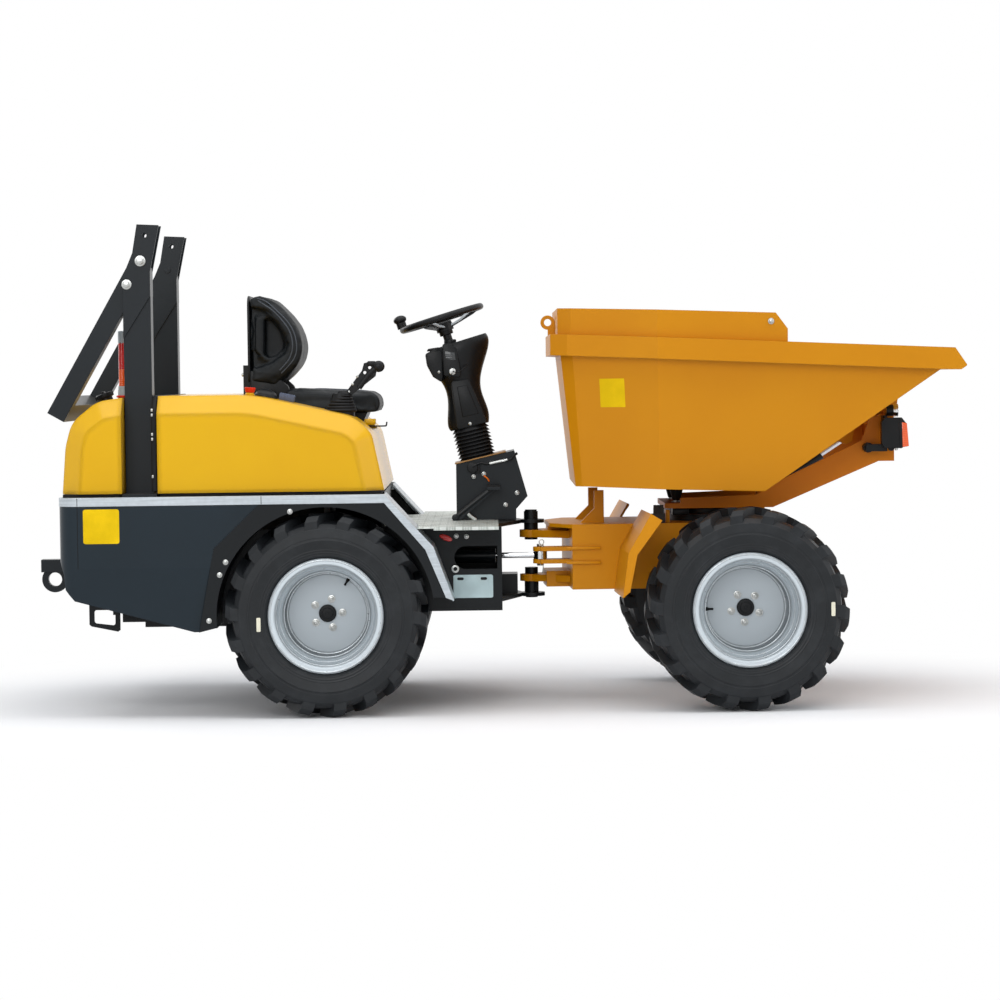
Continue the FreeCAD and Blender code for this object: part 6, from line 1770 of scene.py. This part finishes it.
def assemblies() -> list[Assembly]:
    """Return the sub-assemblies in the order in which they are dressed."""
    return [*wheels(), RearBody(), RollBar(), Seat(), Controls(), Column(), FrontUnit(), Turntable(),
            Skip()]


# Studio


class WorldLight(Shader):
    """The world's node tree, built by name."""

    def __init__(self) -> None:
        """Start an empty world."""
        self.world = bpy.data.worlds.new("studio")
        self.world.use_nodes = True
        self.tree = self.world.node_tree
        self.tree.nodes.clear()

    def background(self, colour: Colour, strength: float) -> Value:
        """Return one even light from all round."""
        return self.add("ShaderNodeBackground", inputs={"Color": colour, "Strength": strength})


@dataclass
class Studio:
    """The pale floor, the soft lamps and the camera where the photograph was taken."""

    eye: Point = (-0.0240, -12.2380, 1.2628)
    yaw: float = 0.2111
    pitch: float = -2.2824
    roll: float = -0.7205
    lens: float = 112.04

    def build(self, bench: Bench) -> None:
        """Make the floor, the world, the lamps and the camera."""
        self._floor(bench)
        self._world()
        self._lamp("overhead", (0.0, -1.2, 6.5), (0.0, 0.0, 0.4), 9.0, 5.0, 285.0)
        self._lamp("camera_side", (-2.5, -9.5, 4.6), (0.0, 0.0, 0.6), 6.0, 4.0, 275.0)
        self._lamp("front", (8.0, -3.0, 3.4), (0.6, 0.0, 0.7), 4.0, 3.0, 110.0)
        self._lamp("behind", (-5.5, 6.5, 4.0), (0.0, 0.0, 0.8), 5.0, 3.0, 120.0)
        self._camera()

    def _floor(self, bench: Bench) -> None:
        """Make the floor, which keeps the object's shadow and is plain white away from it."""
        bench.clear()
        bpy.ops.mesh.primitive_plane_add(size=60.0, location=(0.0, 0.0, -0.0005))
        floor = bench.named("floor")
        shader = Shader("floor_white")
        place = shader.place()
        grain = shader.noise(place, 3.0, 3.0)
        shader.set(Base_Color=shader.blend(grain, srgb(238, 238, 239), srgb(243, 243, 244)), Roughness=0.9)
        ahead, across, _ = shader.split(shader.stretched(place, (1.0 / 3.1, 1.0 / 2.2, 0.0)))
        away = (ahead * ahead + across * across).root().between(0.55, 1.0)
        seen = self._seen(shader) * away
        tree = shader.tree
        white = tree.nodes.new("ShaderNodeEmission")
        mix = tree.nodes.new("ShaderNodeMixShader")
        tree.links.new(seen.socket, mix.inputs[0])
        tree.links.new(shader.surface.outputs["BSDF"], mix.inputs[1])
        tree.links.new(white.outputs[0], mix.inputs[2])
        output = next(node for node in tree.nodes if node.type == "OUTPUT_MATERIAL")
        tree.links.new(mix.outputs[0], output.inputs["Surface"])
        floor.data.materials.append(shader.material)

    def _seen(self, shader: Shader) -> Value:
        """Return 1 where the camera sees the background, straight, in a mirror or through glass."""
        ray = shader.add("ShaderNodeLightPath", output="Is Camera Ray")
        outputs = ray.socket.node.outputs
        for name in ("Is Glossy Ray", "Is Transmission Ray"):
            ray = ray.most(Value(shader, outputs[name]))
        return ray

    def _world(self) -> None:
        """Light from all round, and plain white where the camera or a reflection sees the sky."""
        light = WorldLight()
        ambient = light.background((0.93, 0.96, 1.0), 0.62)
        white = light.background((1.0, 1.0, 1.0), 1.0)
        mix = light.add("ShaderNodeMixShader", inputs={0: self._seen(light), 1: ambient, 2: white})
        output = light.tree.nodes.new("ShaderNodeOutputWorld")
        light.tree.links.new(mix.socket, output.inputs["Surface"])
        bpy.context.scene.world = light.world

    def _lamp(self, name: str, place: Point, aim: Point, width: float, height: float,
              power: float) -> None:
        """Hang one soft box."""
        lamp = bpy.data.lights.new(name, "AREA")
        lamp.shape = "RECTANGLE"
        lamp.size = width
        lamp.size_y = height
        lamp.energy = power
        item = bpy.data.objects.new(name, lamp)
        bpy.context.collection.objects.link(item)
        item.location = place
        item.rotation_euler = (Vector(aim) - Vector(place)).to_track_quat("-Z", "Y").to_euler()

    def _camera(self) -> None:
        """Stand the camera where the photograph was taken from."""
        yaw, pitch, roll = (math.radians(angle) for angle in (self.yaw, self.pitch, self.roll))
        ahead = Vector((math.sin(yaw) * math.cos(pitch), math.cos(yaw) * math.cos(pitch),
                        math.sin(pitch)))
        level = Vector((math.cos(yaw), -math.sin(yaw), 0.0))
        upright = level.cross(ahead)
        right = math.cos(roll) * level + math.sin(roll) * upright
        above = math.cos(roll) * upright - math.sin(roll) * level
        camera = bpy.data.cameras.new("photograph")
        camera.lens = self.lens
        camera.sensor_width = 36.0
        item = bpy.data.objects.new("photograph", camera)
        bpy.context.collection.objects.link(item)
        turn = Matrix((right, above, -ahead)).transposed()
        item.matrix_world = Matrix.Translation(self.eye) @ turn.to_4x4()
        bpy.context.scene.camera = item


def coat_model(shop: PaintShop) -> None:
    """Put the finishes on the CAD nodes that stay in view."""
    shop.coat_nodes(SKIP_ORANGE, "skip_shell", "skip_board", "front_frame", "mudguard_left",
                    "mudguard_right")
    shop.coat_nodes(BEAM_ORANGE, "swivel_frame")
    shop.coat_nodes(HOOD_YELLOW, "hood_main", "hood_tail")
    shop.coat_nodes(SKIRT_SLATE, "tail_skirt")
    shop.coat_nodes(GUARD_BLACK, "fender_left", "fender_right", "rear_frame", "rear_axle", "front_axle")
    shop.coat_nodes(FRAME_BLACK, "rops_posts", "rops_hoop", "pedestal", "pedals", "tow_hitch", "slew_ring",
                    "steer_barrel", "lift_barrel")
    shop.coat_nodes(BRIGHT_TRIM, "trim_band")
    shop.coat_nodes(TreadPlate("tread_plate"), "floor_plate")
    shop.coat_nodes(ROD_CHROME, "steer_rod", "lift_rod")
    shop.coat_nodes(ENGINE_IRON, "engine")
    shop.coat_nodes(BLACK_PLASTIC, "column_cover", "control_lever", "seat_base", "front_lights")
    shop.coat_nodes(GRIP_PLASTIC, "steering_wheel")
    shop.coat_nodes(SEAL_RUBBER, "hood_seals")
    shop.coat_nodes(BELLOWS_RUBBER, "column_bellows")
    shop.coat_nodes(SEAT_VINYL, "seat_cushion", "seat_back")
    shop.coat_nodes(LENS_AMBER, "beacon")
    for end, station, along in (("front", FRONT, AXLE_REACH), ("rear", REAR, -AXLE_REACH)):
        for side, sign in SIDES:
            centre = tuple(station.at(along, sign * TYRE_MIDDLE, AXLE_HEIGHT))
            shop.coat_nodes(TyreRubber(f"tyre_{end}_{side}", centre, station.turn, srgb(24, 27, 30)),
                            f"{end}_{side}_tyre")
            shop.coat_nodes(RimSteel(f"rim_{end}_{side}", centre, station.turn, srgb(178, 186, 191)),
                            f"{end}_{side}_rim")


def main() -> None:
    """Load the model, dress it and stand it in the studio."""
    logging.basicConfig(level=logging.INFO, format="%(name)s %(message)s")
    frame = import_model()
    bpy.ops.object.select_all(action="DESELECT")
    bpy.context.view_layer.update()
    shop = PaintShop(frame)
    bench = Bench(shop)
    coat_model(shop)
    for assembly in assemblies():
        assembly.build(bench)
    Studio().build(bench)
    bpy.context.scene.view_settings.view_transform = "Standard"


if __name__ == "__main__":
    main()
